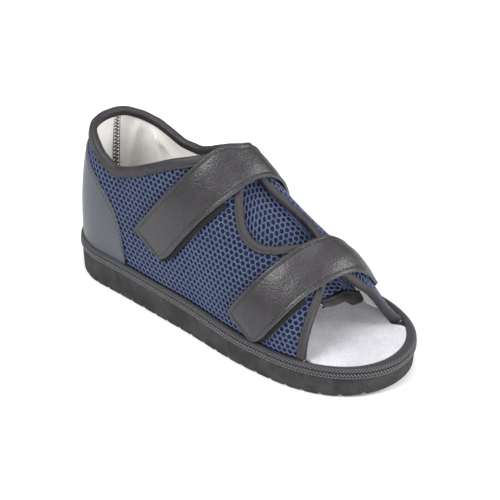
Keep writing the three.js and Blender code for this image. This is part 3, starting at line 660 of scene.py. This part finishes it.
CORE_SINK = 0.45
FACE_CREASE = 0.8
wall_columns = np.r_[np.linspace(-LATERAL_FRONT, 0, 150)[:-1], np.linspace(0, MEDIAL_FRONT, 170)]
wall_rows = np.linspace(0, 1, 44)
column_grid, row_grid = np.meshgrid(wall_columns, wall_rows)
rise_grid = row_grid * wing_top(column_grid)
place_grid = wing_station(column_grid, rise_grid)
fold_grid = creased(place_grid, rise_grid)
wall_out = last_point(place_grid, rise_grid, -CORE_SINK + fold_grid * FACE_CREASE)
bagged = folded(place_grid, rise_grid, LINING_FOLDS) * (1 - soft_step(row_grid, 0.8, 0.97))
wall_in = last_point(place_grid, rise_grid, -WALL + fold_grid + bagged)
for grid, lift in ((wall_out, -CORE_SINK), (wall_in, -WALL)):
    foot = last_point(wall_columns, 0 * wall_columns, lift)
    foot[:, 2] = rim_base(foot[:, 0])
    grid[0] = foot
wall_run = np.stack([way_along(wall_in, 1), way_along(wall_in, 0), rise_grid], -1)
wall = sheet("upper_wall", wall_out, wall_in, wall_run, [core, cotton])
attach(wall, "root")
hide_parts("upper")

# The mesh face
# Blue-grey polyester knitted into a net of staggered six-sided holes about 4 mm apart. It lies over
# the dark core, and its raised strands catch the light.
HOLE_PITCH = 4.3
HOLE_ROW = 3.6
STRAND_WIDTH = 1.25
STRAND_HEIGHT = 0.62
STRAND_LAP = 0.25

yarn = Finish("mesh_yarn", 0.62, sheen=0.12, specular=0.3)
yarn_twist_and_glints = yarn.cloud(0.55, 3)
faded = yarn.cloud(30, 2)
blue = yarn.between(faded.ramp(0.3, 0.7), (0.018, 0.028, 0.076), (0.027, 0.041, 0.102))
# The lighter blue flecked along the yarn is painted glints; the same fine noise also gives the yarn's twisted
# bumps.
yarn.colour(yarn_twist_and_glints.ramp(0.38, 0.7), blue, (0.085, 0.12, 0.22))
yarn.relief(yarn_twist_and_glints, 0.25)


def strands(wide, tall):
    """Both ends of every strand of a net of staggered holes, on a flat piece of cloth."""
    i, j = np.meshgrid(np.arange(int(wide / HOLE_PITCH) + 2), np.arange(int(tall / HOLE_ROW) + 2))
    x, y = HOLE_PITCH * (i + 0.5 * (j % 2)).ravel(), HOLE_ROW * j.ravel()
    top = np.stack([x, y + HOLE_ROW * 2 / 3], -1)
    right = np.stack([x + HOLE_PITCH / 2, y + HOLE_ROW / 3], -1)
    left = np.stack([x - HOLE_PITCH / 2, y + HOLE_ROW / 3], -1)
    low = np.stack([x + HOLE_PITCH / 2, y - HOLE_ROW / 3], -1)
    return np.concatenate([right, top, top]), np.concatenate([low, right, left])


def net(name, starts, ends, ups):
    """Half-round strands laid from point to point on a surface."""
    along = unit(ends - starts)
    side = np.cross(ups, along)
    starts, ends = starts - along * STRAND_LAP, ends + along * STRAND_LAP
    profile = [(-0.5, -0.15), (-0.36, 0.65), (0.0, 1.0), (0.36, 0.65), (0.5, -0.15)]
    rings = []
    for end in (starts, ends):
        for across, up in profile:
            rings.append(end + side * across * STRAND_WIDTH + ups * up * STRAND_HEIGHT)
    points = np.stack(rings, 1)
    base = np.arange(len(starts))[:, None] * len(rings)
    count = len(profile)
    faces = [base + [[k + 1, k, k + count, k + count + 1]] for k in range(count - 1)]
    return piece(name, points, np.concatenate(faces), [yarn], crease=80, solid=False)


survey_stations = np.arange(-LATERAL_FRONT, MEDIAL_FRONT + 1, 1.0)
survey_rises = np.linspace(0, 1.16, 117)
survey = last_surface(survey_stations[:, None], survey_rises[None, :])
survey_up = way_along(survey, 1)
survey_along = way_along(survey, 0)[:, 22]
edge_columns = np.linspace(-LATERAL_FRONT, MEDIAL_FRONT, 1200)
edge_stations = wing_station(edge_columns, wing_top(edge_columns))


def on_wall(cloth):
    """Station and rise of points of the flat cloth once it is wrapped round the last."""
    station = np.interp(cloth[:, 0], survey_along, survey_stations)
    spot = np.clip((station - survey_stations[0]), 0, len(survey_stations) - 1.001)
    low = spot.astype(int)
    part = spot - low
    rise = np.empty(len(cloth))
    for i, (row, share, up) in enumerate(zip(low, part, cloth[:, 1])):
        ways = survey_up[row] * (1 - share) + survey_up[row + 1] * share
        rise[i] = np.interp(up, ways, survey_rises)
    return station, rise


def shown_on_wall(station, rise):
    top = np.interp(station, edge_stations, wing_top(edge_columns))
    outer = station < 0
    front = np.where(outer, LATERAL_FRONT, MEDIAL_FRONT) - slant_back(outer, rise)
    counter = np.interp(np.abs(station) / LENGTH, COUNTER_TOP["at"], COUNTER_TOP["rise"], right=-1)
    return (rise < top - 0.02) & (np.abs(station) < front - 2) & (rise > counter - 0.02) & (rise > 0.004)


starts, ends = strands(survey_along[-1], 190)
start_places, end_places = on_wall(starts), on_wall(ends)
kept = shown_on_wall(*start_places) & shown_on_wall(*end_places)
(s0, r0), (s1, r1) = [(station[kept], rise[kept]) for station, rise in (start_places, end_places)]
mesh_face = net(
    "upper_mesh",
    last_point(s0, r0, -CORE_SINK + creased(s0, r0) * FACE_CREASE),
    last_point(s1, r1, -CORE_SINK + creased(s1, r1) * FACE_CREASE),
    last_normal((s0 + s1) / 2, (r0 + r1) / 2),
)
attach(mesh_face, "root")

# The heel counter
# A stiff shaped cup of smooth blue-grey leatherette round the heel, from just above the rim to its
# swept upper edges, which are cut clean and stitched to the wall.
COUNTER_THICKNESS = 1.25
COUNTER_FOOT = 0.0025
HEEL_RISE = 165

satin = Finish("counter_skin", 0.42, coat=0.08, specular=0.5)
haze = satin.cloud(34, 3)
grain = satin.cells(0.8)
satin.colour(haze.ramp(0.3, 0.7), (0.036, 0.041, 0.052), (0.052, 0.058, 0.072))
satin.paint("Roughness", haze.ramp(0.3, 0.7, 0.4, 0.52))
satin.relief(grain, 0.05)
satin.relief(satin.cloud(18, 2), 0.5)

cut_edge = Finish("cut_edge", 0.8, specular=0.3)
fray = cut_edge.cloud(0.8, 3)
cut_edge.colour(fray, (0.05, 0.05, 0.055), (0.14, 0.14, 0.15))
cut_edge.relief(fray, 0.2)

counter_end = COUNTER_TOP["at"][-1] * LENGTH
counter_columns = np.linspace(-counter_end, counter_end, 150)
counter_rows = np.linspace(0, 1, 48)
column_grid, row_grid = np.meshgrid(counter_columns, counter_rows)
counter_top = read(COUNTER_TOP, "rise", np.abs(column_grid) / LENGTH)
rise_grid = COUNTER_FOOT + (counter_top - COUNTER_FOOT) * row_grid
to_top = (1 - row_grid) * (counter_top + 0.02) * HEEL_RISE
edge_round = 0.45 * (1 - np.minimum(to_top / 1.2, 1)) ** 2
bow = 0.35 * soft_step(to_top, 3.5, 14) * np.sin(np.pi * row_grid) + 0.25 * creased(column_grid, rise_grid)
tacked = -0.16 * np.exp(-(((to_top - 2.6) / 0.7) ** 2))
counter_out = last_point(column_grid, rise_grid, SEAM + COUNTER_THICKNESS - edge_round + bow + tacked)
counter_in = last_point(column_grid, rise_grid, SEAM)
counter_run = np.stack([way_along(counter_out, 1), way_along(counter_out, 0), to_top], -1)
counter = sheet("counter_cup", counter_out, counter_in, counter_run, [satin, cut_edge])
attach(counter, "root")
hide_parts("heel_counter")

thread = Finish("stitch_thread", 0.7, sheen=0.2, specular=0.35)
twist = thread.cloud(0.5, 2)
thread.colour(twist, (0.004, 0.004, 0.0045), (0.016, 0.0155, 0.017))
thread.relief(twist, 0.15)


def beads(name, starts, ends, ups, wide, high):
    """A short raised stitch from each start to each end."""
    along = ends - starts
    side = unit(np.cross(ups, along))
    rings = []
    for part, size in ((0, 0.35), (0.14, 0.85), (0.5, 1.0), (0.86, 0.85), (1, 0.35)):
        centre = starts + along * part - ups * high * (1 - size) * 0.6
        for turn in np.arange(6) * np.pi / 3:
            offset = side * math.cos(turn) * wide / 2 + ups * math.sin(turn) * high / 2
            rings.append(centre + offset * size)
    points = np.stack(rings, 1)
    base = np.arange(len(starts))[:, None] * len(rings)
    faces = [base + [face] for low in (0, 6, 12, 18) for face in hoop(low, low + 6, 6)]
    faces = [list(face) for face in np.concatenate(faces)]
    for cap in (range(5, -1, -1), range(24, 30)):
        faces += [list(face) for face in base + [list(cap)]]
    made = piece(name, points, faces, [thread], crease=80)
    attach(made, "root")
    return made


def stitched(name, line, ups, long=2.5, gap=0.9, wide=0.55, high=0.45):
    """A row of stitches along a line of points."""
    far = way_along(line, 0)
    starts = np.arange(gap, far[-1] - long, long + gap)

    def at(way, track):
        return np.stack([np.interp(way, far, track[:, k]) for k in range(3)], -1)

    up = unit(at(starts + long / 2, ups))
    return beads(name, at(starts, line), at(starts + long, line), up, wide, high)


seam_columns = np.linspace(-counter_end * 0.985, counter_end * 0.985, 400)
seam_rise = read(COUNTER_TOP, "rise", np.abs(seam_columns) / LENGTH) - 0.017
seam_rise = np.maximum(seam_rise, 0.01)
counter_seam = stitched(
    "counter_stitches",
    last_point(seam_columns, seam_rise, SEAM + COUNTER_THICKNESS - 0.05),
    last_normal(seam_columns, seam_rise),
)

# The edge tapes
# Strips of thin black leatherette folded over the wall's cut edge and sewn through: one round the
# collar, one down each side of the throat to near the rim. Their outer leg ends in a turned-in lip.
TAPE = 1.1
COLLAR_TAPE = 6.2
EDGE_TAPE = 4.8
MEDIAL_TAPE = 3.4
LATERAL_FOOT = 0.014
MEDIAL_FOOT = 0.1
JOINT = 1.8

tape_skin = Finish("edge_tape", 0.5, specular=0.45)
wrinkle = tape_skin.cloud(3.2, 4, 0.6)
fine = tape_skin.cells(0.8)
worn = tape_skin.cloud(12, 3)
tape_skin.colour(worn.ramp(0.3, 0.75), (0.0115, 0.0098, 0.0125), (0.021, 0.0178, 0.0215))
tape_skin.paint("Roughness", worn.ramp(0.3, 0.7, 0.42, 0.62))
tape_skin.relief(wrinkle, 0.4)
tape_skin.relief(fine, 0.12)


def tape_section(width, wall, seam):
    """The folded tape across its run: how far out past the edge, and how high off the face."""
    turn, low = seam + TAPE, -wall - 0.3 - TAPE
    legs = [(-width, -0.2), (-width - 0.05, turn * 0.5), (-width + 0.25, turn * 0.88), (-width + 0.7, turn)]
    legs += [(-width + 1.25, turn - 0.08), (-width + 1.7, turn - 0.3), (-width + 2.2, turn - 0.02)]
    legs += [(-width * 0.5, turn + 0.12), (-width * 0.22, turn + 0.12)]
    middle, half = (turn + low) / 2, (turn - low) / 2
    for part in np.linspace(0.42, -0.5, 9) * np.pi:
        legs.append((turn * 0.92 * math.cos(part), middle + (half + 0.05) * math.sin(part)))
    legs += [(-width * 0.3, low), (-width * 0.66, low), (-width * 0.7, low + 0.35), (-width * 0.7, -wall)]
    return np.array(legs)


def folded_tape(name, surface, path, section, out, puff):
    """Folds a tape over the edge that runs along a path on a surface."""
    a, b = path[:, 0], path[:, 1]
    places = surface(a, b, 0)
    leave = unit(np.diff(places, axis=0))
    arrive = np.concatenate([leave[:1], leave])
    leave = np.concatenate([leave, leave[-1:]])
    along = unit(arrive + leave)
    face = unit(surface(a, b, 1) - places)
    away = unit(np.cross(along, face)) * out
    step_a = (surface(a + 0.01, b, 0) - surface(a - 0.01, b, 0)) / 0.02
    step_b = (surface(a, b + 0.001, 0) - surface(a, b - 0.001, 0)) / 0.002

    def dot(first, second):
        return (first * second).sum(-1)

    aa, ab, bb = dot(step_a, step_a), dot(step_a, step_b), dot(step_b, step_b)
    whole = aa * bb - ab * ab
    da = (dot(away, step_a) * bb - dot(away, step_b) * ab) / whole
    db = (dot(away, step_b) * aa - dot(away, step_a) * ab) / whole
    mitre = 1 / np.maximum(np.sqrt((1 + dot(arrive, leave)) / 2), 0.7)
    reach = section[None, :, 0] * mitre[:, None]
    far = way_along(places, 0)[:, None]
    swell = puff * (np.sin(far / 3.7) * np.sin(far / 9.1 + 1) + 0.6 * np.sin(far / 1.9 + 2))
    puffed = (section[:, 1] > 0.9) & (section[:, 0] > section[0, 0] + 2.6)
    lift = section[None, :, 1] + swell * puffed
    grid = surface(a[:, None] + da[:, None] * reach, b[:, None] + db[:, None] * reach, lift)
    rows, size = grid.shape[:2]
    at = np.arange(rows * size).reshape(rows, size)
    ring = np.roll(at, -1, axis=1)
    faces = np.stack([at[:-1], ring[:-1], ring[1:], at[1:]], -1).reshape(-1, 4).tolist()
    faces += [at[0].tolist(), at[-1, ::-1].tolist()]
    walked, crossed = (np.broadcast_to(way, (rows, size)) for way in (far, section[:, 0]))
    run = np.stack([walked, crossed, 0 * walked], -1)
    made = piece(name, grid, faces, [tape_skin], run, crease=70)
    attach(made, "root")
    inset = -section[5, 0]
    line = surface(a - da * inset * mitre, b - db * inset * mitre, section[5, 1] + 0.12)
    stitches = stitched(name + "_stitches", line[2:-2], face[2:-2])
    return made


collar_columns = np.linspace(-COLLAR_FRONT + JOINT / 2, COLLAR_FRONT - JOINT / 2, 330)
collar_rise = wing_top(collar_columns)
collar_path = np.column_stack([wing_station(collar_columns, collar_rise), collar_rise])
collar_section = tape_section(COLLAR_TAPE, WALL, 1.5 * SEAM)
collar = folded_tape("collar_tape", last_point, collar_path, collar_section, 1, 0.12)
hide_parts("collar_binding")


def wing_path(front, foot):
    """Along the top of a wing from the collar, then down its toe edge to just above the rim."""
    columns = np.sign(front) * np.linspace(COLLAR_FRONT + JOINT / 2, abs(front), 130)
    top = wing_top(columns)
    down = np.linspace(top[-1], foot, 60)[1:]
    edge = wing_station(np.full(len(down), float(front)), down)
    return np.concatenate([np.column_stack([wing_station(columns, top), top]), np.column_stack([edge, down])])


for name, front, foot, out, width, node in (
    ("lateral_throat_tape", -LATERAL_FRONT, LATERAL_FOOT, -1, EDGE_TAPE, "lateral_throat_binding"),
    ("medial_throat_tape", MEDIAL_FRONT, MEDIAL_FOOT, 1, MEDIAL_TAPE, "medial_throat_binding"),
):
    section = tape_section(width, WALL, 1.3 * SEAM)
    tape = folded_tape(name, last_point, wing_path(front, foot), section, out, 0.1)
    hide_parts(node)

# The heel seam
# The lining is joined a little to the inner side of the heel's middle with a black overlocked seam,
# a narrow zigzag of thread that shows inside the shoe from the insole to the collar.
HEEL_SEAM = 10.0
ZIGZAG_HALF = 1.9
ZIGZAG_RISE = 0.0085
THREAD_STANDS = 0.12
seam_up = np.arange(0.05, 0.43, ZIGZAG_RISE)
zigzag = np.where(np.arange(len(seam_up)) % 2 == 0, HEEL_SEAM - ZIGZAG_HALF, HEEL_SEAM + ZIGZAG_HALF)
near = last_point(zigzag[:-1], seam_up[:-1], -WALL - THREAD_STANDS)
far = last_point(zigzag[1:], seam_up[1:], -WALL - THREAD_STANDS)
inside = -last_normal(0 * seam_up[1:] + HEEL_SEAM, seam_up[1:])
heel_seam = beads("heel_seam", near, far, inside, 1.1, 0.6)
spine = np.linspace(0.04, 0.43, 120)
for offset in (-2.3, 2.3):
    line = last_point(0 * spine + HEEL_SEAM + offset, spine, -WALL - THREAD_STANDS)
    row = stitched(
        "heel_seam_left" if offset < 0 else "heel_seam_right",
        line, -last_normal(0 * spine + HEEL_SEAM, spine), 1.9, 0.3, 0.9, 0.55,
    )

# The tongue
# A padded flap of the same mesh sewn in under both sides of the throat. It sags towards the toes
# and ends in a free lip bound with the edge tape.
TONGUE_THICKNESS = 2.5
TONGUE_TOP = 141
TONGUE_FRONT = 236
TONGUE_SAG = 22
TONGUE_SINK = 0.35
TONGUE_CLOTH = 120
TONGUE = {
    "at": [0.495, 0.56, 0.614, 0.702, 0.772, 0.828],
    "lateral": [0.64, 0.5, 0.44, 0.5, 0.55, 0.6],
    "medial": [1.3, 1.26, 1.24, 1.24, 1.31, 1.45],
    "sag": [0.0, 0.0, 0.03, 0.17, 0.55, 1.0],
}
HOLLOW = {
    "at": [0, 0.125, 0.25, 0.375, 0.5, 0.625, 0.75, 1],
    "sag": [0.06, 0.34, 0.6, 0.76, 0.88, 0.96, 0.98, 0.7],
}
tongue_lift = -(WALL + 1.0 + TAPE + 0.9)


def tongue_point(across, station, lift):
    at = station / LENGTH
    lateral = read(TONGUE, "lateral", at)
    way = lateral + (read(TONGUE, "medial", at) - lateral) * across
    point = last_point(-station, way, tongue_lift + lift)
    point[..., 2] -= read(TONGUE, "sag", at) * read(HOLLOW, "sag", across) * TONGUE_SAG
    return point


def tongue_up(across, station):
    return unit(tongue_point(across, station, 1.0) - tongue_point(across, station, 0.0))


across_grid, along_grid = np.meshgrid(np.linspace(0, 1, 50), np.linspace(TONGUE_TOP, TONGUE_FRONT, 80))
tongue_out = tongue_point(across_grid, along_grid, -TONGUE_SINK)
tongue_in = tongue_point(across_grid, along_grid, -TONGUE_THICKNESS)
tongue_run = np.stack([way_along(tongue_in, 1), way_along(tongue_in, 0), across_grid], -1)
tongue = sheet("tongue_flap", tongue_out, tongue_in, tongue_run, [core, cotton])
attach(tongue, "root")
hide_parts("tongue")

tongue_stations = np.linspace(TONGUE_TOP, TONGUE_FRONT, 96)
tongue_strips = tongue_point(np.linspace(0, 1, 40)[None, :], tongue_stations[:, None], 0.0)
tongue_widths = way_along(tongue_strips, 1)[:, -1]
tongue_ways = way_along(tongue_point(0.5 + 0 * tongue_stations, tongue_stations, 0.0), 0)


def on_tongue(cloth):
    station = np.interp(cloth[:, 0], tongue_ways, tongue_stations)
    across = 0.5 + (cloth[:, 1] - TONGUE_CLOTH / 2) / np.interp(station, tongue_stations, tongue_widths)
    return across, station


starts, ends = strands(tongue_ways[-1], TONGUE_CLOTH)
start_places, end_places = on_tongue(starts), on_tongue(ends)
kept = np.ones(len(starts), bool)
for across, station in (start_places, end_places):
    kept &= (across > 0.01) & (across < 0.99) & (station < TONGUE_FRONT - 4) & (station > TONGUE_TOP + 1)
(a0, s0), (a1, s1) = [(across[kept], station[kept]) for across, station in (start_places, end_places)]
tongue_net = net(
    "tongue_mesh",
    tongue_point(a0, s0, -TONGUE_SINK),
    tongue_point(a1, s1, -TONGUE_SINK),
    tongue_up((a0 + a1) / 2, (s0 + s1) / 2),
)
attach(tongue_net, "root")

lip_path = np.column_stack([np.linspace(0, 1, 90), np.full(90, float(TONGUE_FRONT))])
lip_section = tape_section(EDGE_TAPE, TONGUE_THICKNESS, 1.3 * SEAM)
lip = folded_tape("tongue_tape", tongue_point, lip_path, lip_section, 1, 0.1)
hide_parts("tongue_binding")

# The straps and loop pads
# Two broad straps of pebbled black leatherette, two layers sewn together a few millimetres inside
# the edge. Each is sewn down on the inner side, wraps over the throat and closes on the outer side
# on a slightly wider and longer pad of black loop tape.
STRAP_THICKNESS = 2.2
PAD_THICKNESS = 1.35
PAD_MARGIN = 3.5
PAD_END = -0.016
PAD_REACH = 0.4
STRAP_SEAM = 3.1
SEAM_DIP = 0.34
INSTEP_STRAP = {
    "at": [-0.016, 0.0, 0.03, 0.12, 0.22, 0.34, 0.45, 0.56, 0.66, 0.76, 0.86, 0.93, 1.0],
    "rear": [0.2725, 0.28, 0.294, 0.33, 0.37, 0.412, 0.442, 0.468, 0.494, 0.504, 0.498, 0.475, 0.436],
    "rear_way": [0.156, 0.173, 0.205, 0.278, 0.374, 0.503, 0.635, 0.8, 0.96, 1.13, 1.35, 1.57, 1.82],
    "front": [0.361, 0.371, 0.389, 0.43, 0.466, 0.507, 0.537, 0.554, 0.567, 0.582, 0.578, 0.558, 0.522],
    "front_way": [0.103, 0.114, 0.134, 0.23, 0.337, 0.498, 0.661, 0.82, 0.97, 1.14, 1.36, 1.59, 1.86],
    "raised": [1, 1, 1, 1, 1, 1, 1, 1, 1, 0.85, 0.35, 0, 0],
}
FOREFOOT_STRAP = {
    "at": [-0.016, 0.0, 0.03, 0.14, 0.28, 0.4, 0.5, 0.6, 0.7, 0.79, 0.87, 0.93, 1.0],
    "rear": [0.597, 0.602, 0.611, 0.636, 0.671, 0.692, 0.707, 0.721, 0.734, 0.756, 0.764, 0.754, 0.728],
    "rear_way": [0.084, 0.105, 0.145, 0.262, 0.447, 0.585, 0.71, 0.85, 1.0, 1.17, 1.38, 1.6, 1.86],
    "front": [0.6735, 0.682, 0.698, 0.728, 0.76, 0.782, 0.8, 0.814, 0.827, 0.84, 0.844, 0.83, 0.803],
    "front_way": [0.012, 0.018, 0.034, 0.15, 0.33, 0.49, 0.64, 0.81, 1.0, 1.21, 1.44, 1.65, 1.9],
    "raised": [1, 1, 1, 1, 1, 1, 1, 1, 0.9, 0.8, 0.25, 0, 0],
}

hide = Finish("strap_skin", 0.42, coat=0.06, specular=0.5)
pebble = hide.cells(1.15)
vein = hide.cloud(3.4, 3, 0.5)
age = hide.cloud(24, 3)
tint = hide.between(age.ramp(0.3, 0.75), (0.0135, 0.0115, 0.0135), (0.022, 0.019, 0.0215))
# Painted shade: the colour goes darker in the hollows between the pebbles.
tint_shaded_between_pebbles = hide.between(pebble.ramp(0.35, 0.75, 0.0, 0.5), tint, (0.009, 0.008, 0.009))
# Painted shade: a near-black line runs along the sunken stitch groove, about 3 mm in from the strap's edge.
seam_groove_shade = (hide.run("Z") - STRAP_SEAM).size().ramp(0.35, 0.95, 0.9, 0.0)
hide.colour(seam_groove_shade, tint_shaded_between_pebbles, (0.004, 0.0038, 0.0042))
hide.paint("Roughness", vein.ramp(0.3, 0.7, 0.36, 0.46))
hide.relief(pebble, -0.25)

loop = Finish("loop_tape", 1.0, specular=0.25)
tufts = loop.cloud(0.7, 4, 0.75)
loop.colour(tufts, (0.006, 0.006, 0.0066), (0.024, 0.0235, 0.025))
loop.relief(tufts, 1.2)


def strap_place(table, part, across, lift, edge=0.0):
    """A point on a strap: how far along it from its free end, how far across, and how high."""
    rear = read(table, "rear", part) * LENGTH
    station = rear + (read(table, "front", part) * LENGTH + edge - rear) * across
    rear_way = read(table, "rear_way", part)
    way = rear_way + (read(table, "front_way", part) - rear_way) * across
    return last_point(-station, way, lift)


def strap_low(table, part):
    return SEAM + 2 * CLEAR + PAD_THICKNESS * read(table, "raised", part)


def corner_shift(across, width, radius):
    """How far the end of a strap is trimmed back near its rounded corners."""
    over = np.maximum(np.abs(across - 0.5) * width - (width / 2 - radius), 0)
    return radius - np.sqrt(np.maximum(radius**2 - over**2, 0))


def strap(name, table, node, pad_node):
    """One strap with its row of stitches, and the pad that it closes on."""
    parts = np.r_[np.linspace(0, 0.06, 22)[:-1], np.linspace(0.06, 0.94, 110), np.linspace(0.94, 1, 14)[1:]]
    sides = 0.5 - 0.5 * np.cos(np.linspace(0, np.pi, 41))
    across, part = np.meshgrid(sides, parts)
    middle = strap_place(table, parts, 0.5, 0)
    long = way_along(middle, 0)[-1]
    rear_edge, front_edge = (strap_place(table, parts, side, 0) for side in (0, 1))
    width = np.linalg.norm(front_edge - rear_edge, axis=1)[:, None]
    trim = corner_shift(across, width, 2.2) / long
    part = part + trim * np.clip(1 - part / 0.06, 0, 1)
    from_edge = np.minimum(np.minimum(across, 1 - across) * width, part * long - trim * long)
    low = strap_low(table, part)
    rolled = 0.45 * (1 - np.minimum(from_edge / 0.7, 1)) ** 2
    sewn = SEAM_DIP * np.exp(-(((from_edge - STRAP_SEAM) / 0.8) ** 2))
    crown = 0.45 * soft_step(from_edge, STRAP_SEAM, STRAP_SEAM + 8)
    ripple = np.sin(part * long / 11 + across * 5) * np.sin(across * 9 + part * 14)
    wear = 0.1 * ripple * soft_step(from_edge, 2, 8)
    top = low + STRAP_THICKNESS - 0.1 - rolled - sewn + crown + wear
    grid = strap_place(table, part, across, top)
    under = strap_place(table, part, across, low)
    run = np.stack([way_along(grid, 0), way_along(grid, 1), from_edge], -1)
    made = sheet(name, grid, under, run, [hide, cut_edge], 50)
    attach(made, "root")
    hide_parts(node)

    inset = np.clip(STRAP_SEAM / width[:, 0], 0, 0.4)
    start = STRAP_SEAM / long
    back = np.linspace(0.965, start, 300)
    wide = np.interp(back, parts, inset)
    ends = np.linspace(wide[-1], 1 - wide[-1], 60)
    line_part = np.r_[back, np.full(58, start), back[::-1]]
    line_across = np.r_[wide, ends[1:-1], 1 - wide[::-1]]
    height = strap_low(table, line_part) + STRAP_THICKNESS - SEAM_DIP
    line = strap_place(table, line_part, line_across, height)
    ups = unit(strap_place(table, line_part, line_across, height + 1) - line)
    seam = stitched(name + "_stitches", line, ups, 2.4, 0.9, 0.72, 0.5)

    part = np.linspace(PAD_END, PAD_REACH, 52)[:, None]
    across = np.linspace(0, 1, 14)[None, :]
    pad_top = strap_place(table, part, across, SEAM + PAD_THICKNESS, PAD_MARGIN)
    pad_low = strap_place(table, part, across, SEAM, PAD_MARGIN)
    run = np.stack([way_along(pad_top, 0), way_along(pad_top, 1), 0 * pad_top[..., 0]], -1)
    pad = sheet(name.replace("strap", "loop"), pad_top, pad_low, run, [loop, loop])
    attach(pad, "root")
    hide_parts(pad_node)


strap("instep_strap_skin", INSTEP_STRAP, "instep_strap", "instep_loop_pad")
strap("forefoot_strap_skin", FOREFOOT_STRAP, "forefoot_strap", "forefoot_loop_pad")

# The stand and the light
# The shoe stands on a plain pale floor under broad soft lights, seen from in front of its outer
# side and above.
floor_finish = Finish("pale_floor", 0.6, specular=0.2)
floor_finish.paint("Base Color", (0.86, 0.86, 0.87, 1))
FLOOR_HALF = 4000
FLOOR_DROP = -0.2
corners = [(x * FLOOR_HALF, y * FLOOR_HALF, FLOOR_DROP) for x, y in ((-1, -1), (1, -1), (1, 1), (-1, 1))]
floor = piece("floor", corners, [(0, 1, 2, 3)], [floor_finish], solid=False)

sky = bpy.data.worlds.new("soft_white")
sky.use_nodes = True
sky.node_tree.nodes["Background"].inputs["Color"].default_value = (0.97, 0.98, 1, 1)
sky.node_tree.nodes["Background"].inputs["Strength"].default_value = 0.5
bpy.context.scene.world = sky
bpy.context.scene.view_settings.view_transform = "Standard"


def lamp(name, place, target, size, power):
    light = bpy.data.lights.new(name, "AREA")
    light.shape, light.size, light.energy = "SQUARE", size, power
    made = bpy.data.objects.new(name, light)
    bpy.context.scene.collection.objects.link(made)
    aim = Matrix.Translation(place)
    direction = (aim.to_translation() - Matrix.Translation(target).to_translation()).normalized()
    made.matrix_world = aim @ direction.to_track_quat("Z", "Y").to_matrix().to_4x4()


lamp("key_light", (-0.35, -0.9, 1.15), (0, 0, 0.05), 0.7, 19)
lamp("side_light", (0.95, 0.55, 0.75), (0, 0, 0.06), 0.5, 10)
lamp("front_light", (0.95, -0.6, 0.38), (0.08, 0, 0.04), 0.6, 9.5)
lamp("top_light", (-0.1, 0.25, 1.4), (0, 0, 0.05), 0.9, 8)

turn, tip, roll = (math.radians(angle) for angle in (37.7817613, 33.0, 0.470402508))
right = np.array([math.cos(turn), math.sin(turn), 0])
ahead = np.array([-math.sin(turn) * math.cos(tip), math.cos(turn) * math.cos(tip), -math.sin(tip)])
down = -np.cross(right, ahead)
right, down = (
    right * math.cos(roll) - down * math.sin(roll),
    right * math.sin(roll) + down * math.cos(roll),
)
view = bpy.data.cameras.new("camera")
view.lens, view.sensor_width = 93.7376, 36
camera = bpy.data.objects.new("camera", view)
bpy.context.scene.collection.objects.link(camera)
axes = Matrix([list(row) for row in np.column_stack([right, -down, -ahead])])
camera.matrix_world = Matrix.Translation((0.485257, -0.614830, 0.559432)) @ axes.to_4x4()
bpy.context.scene.camera = camera
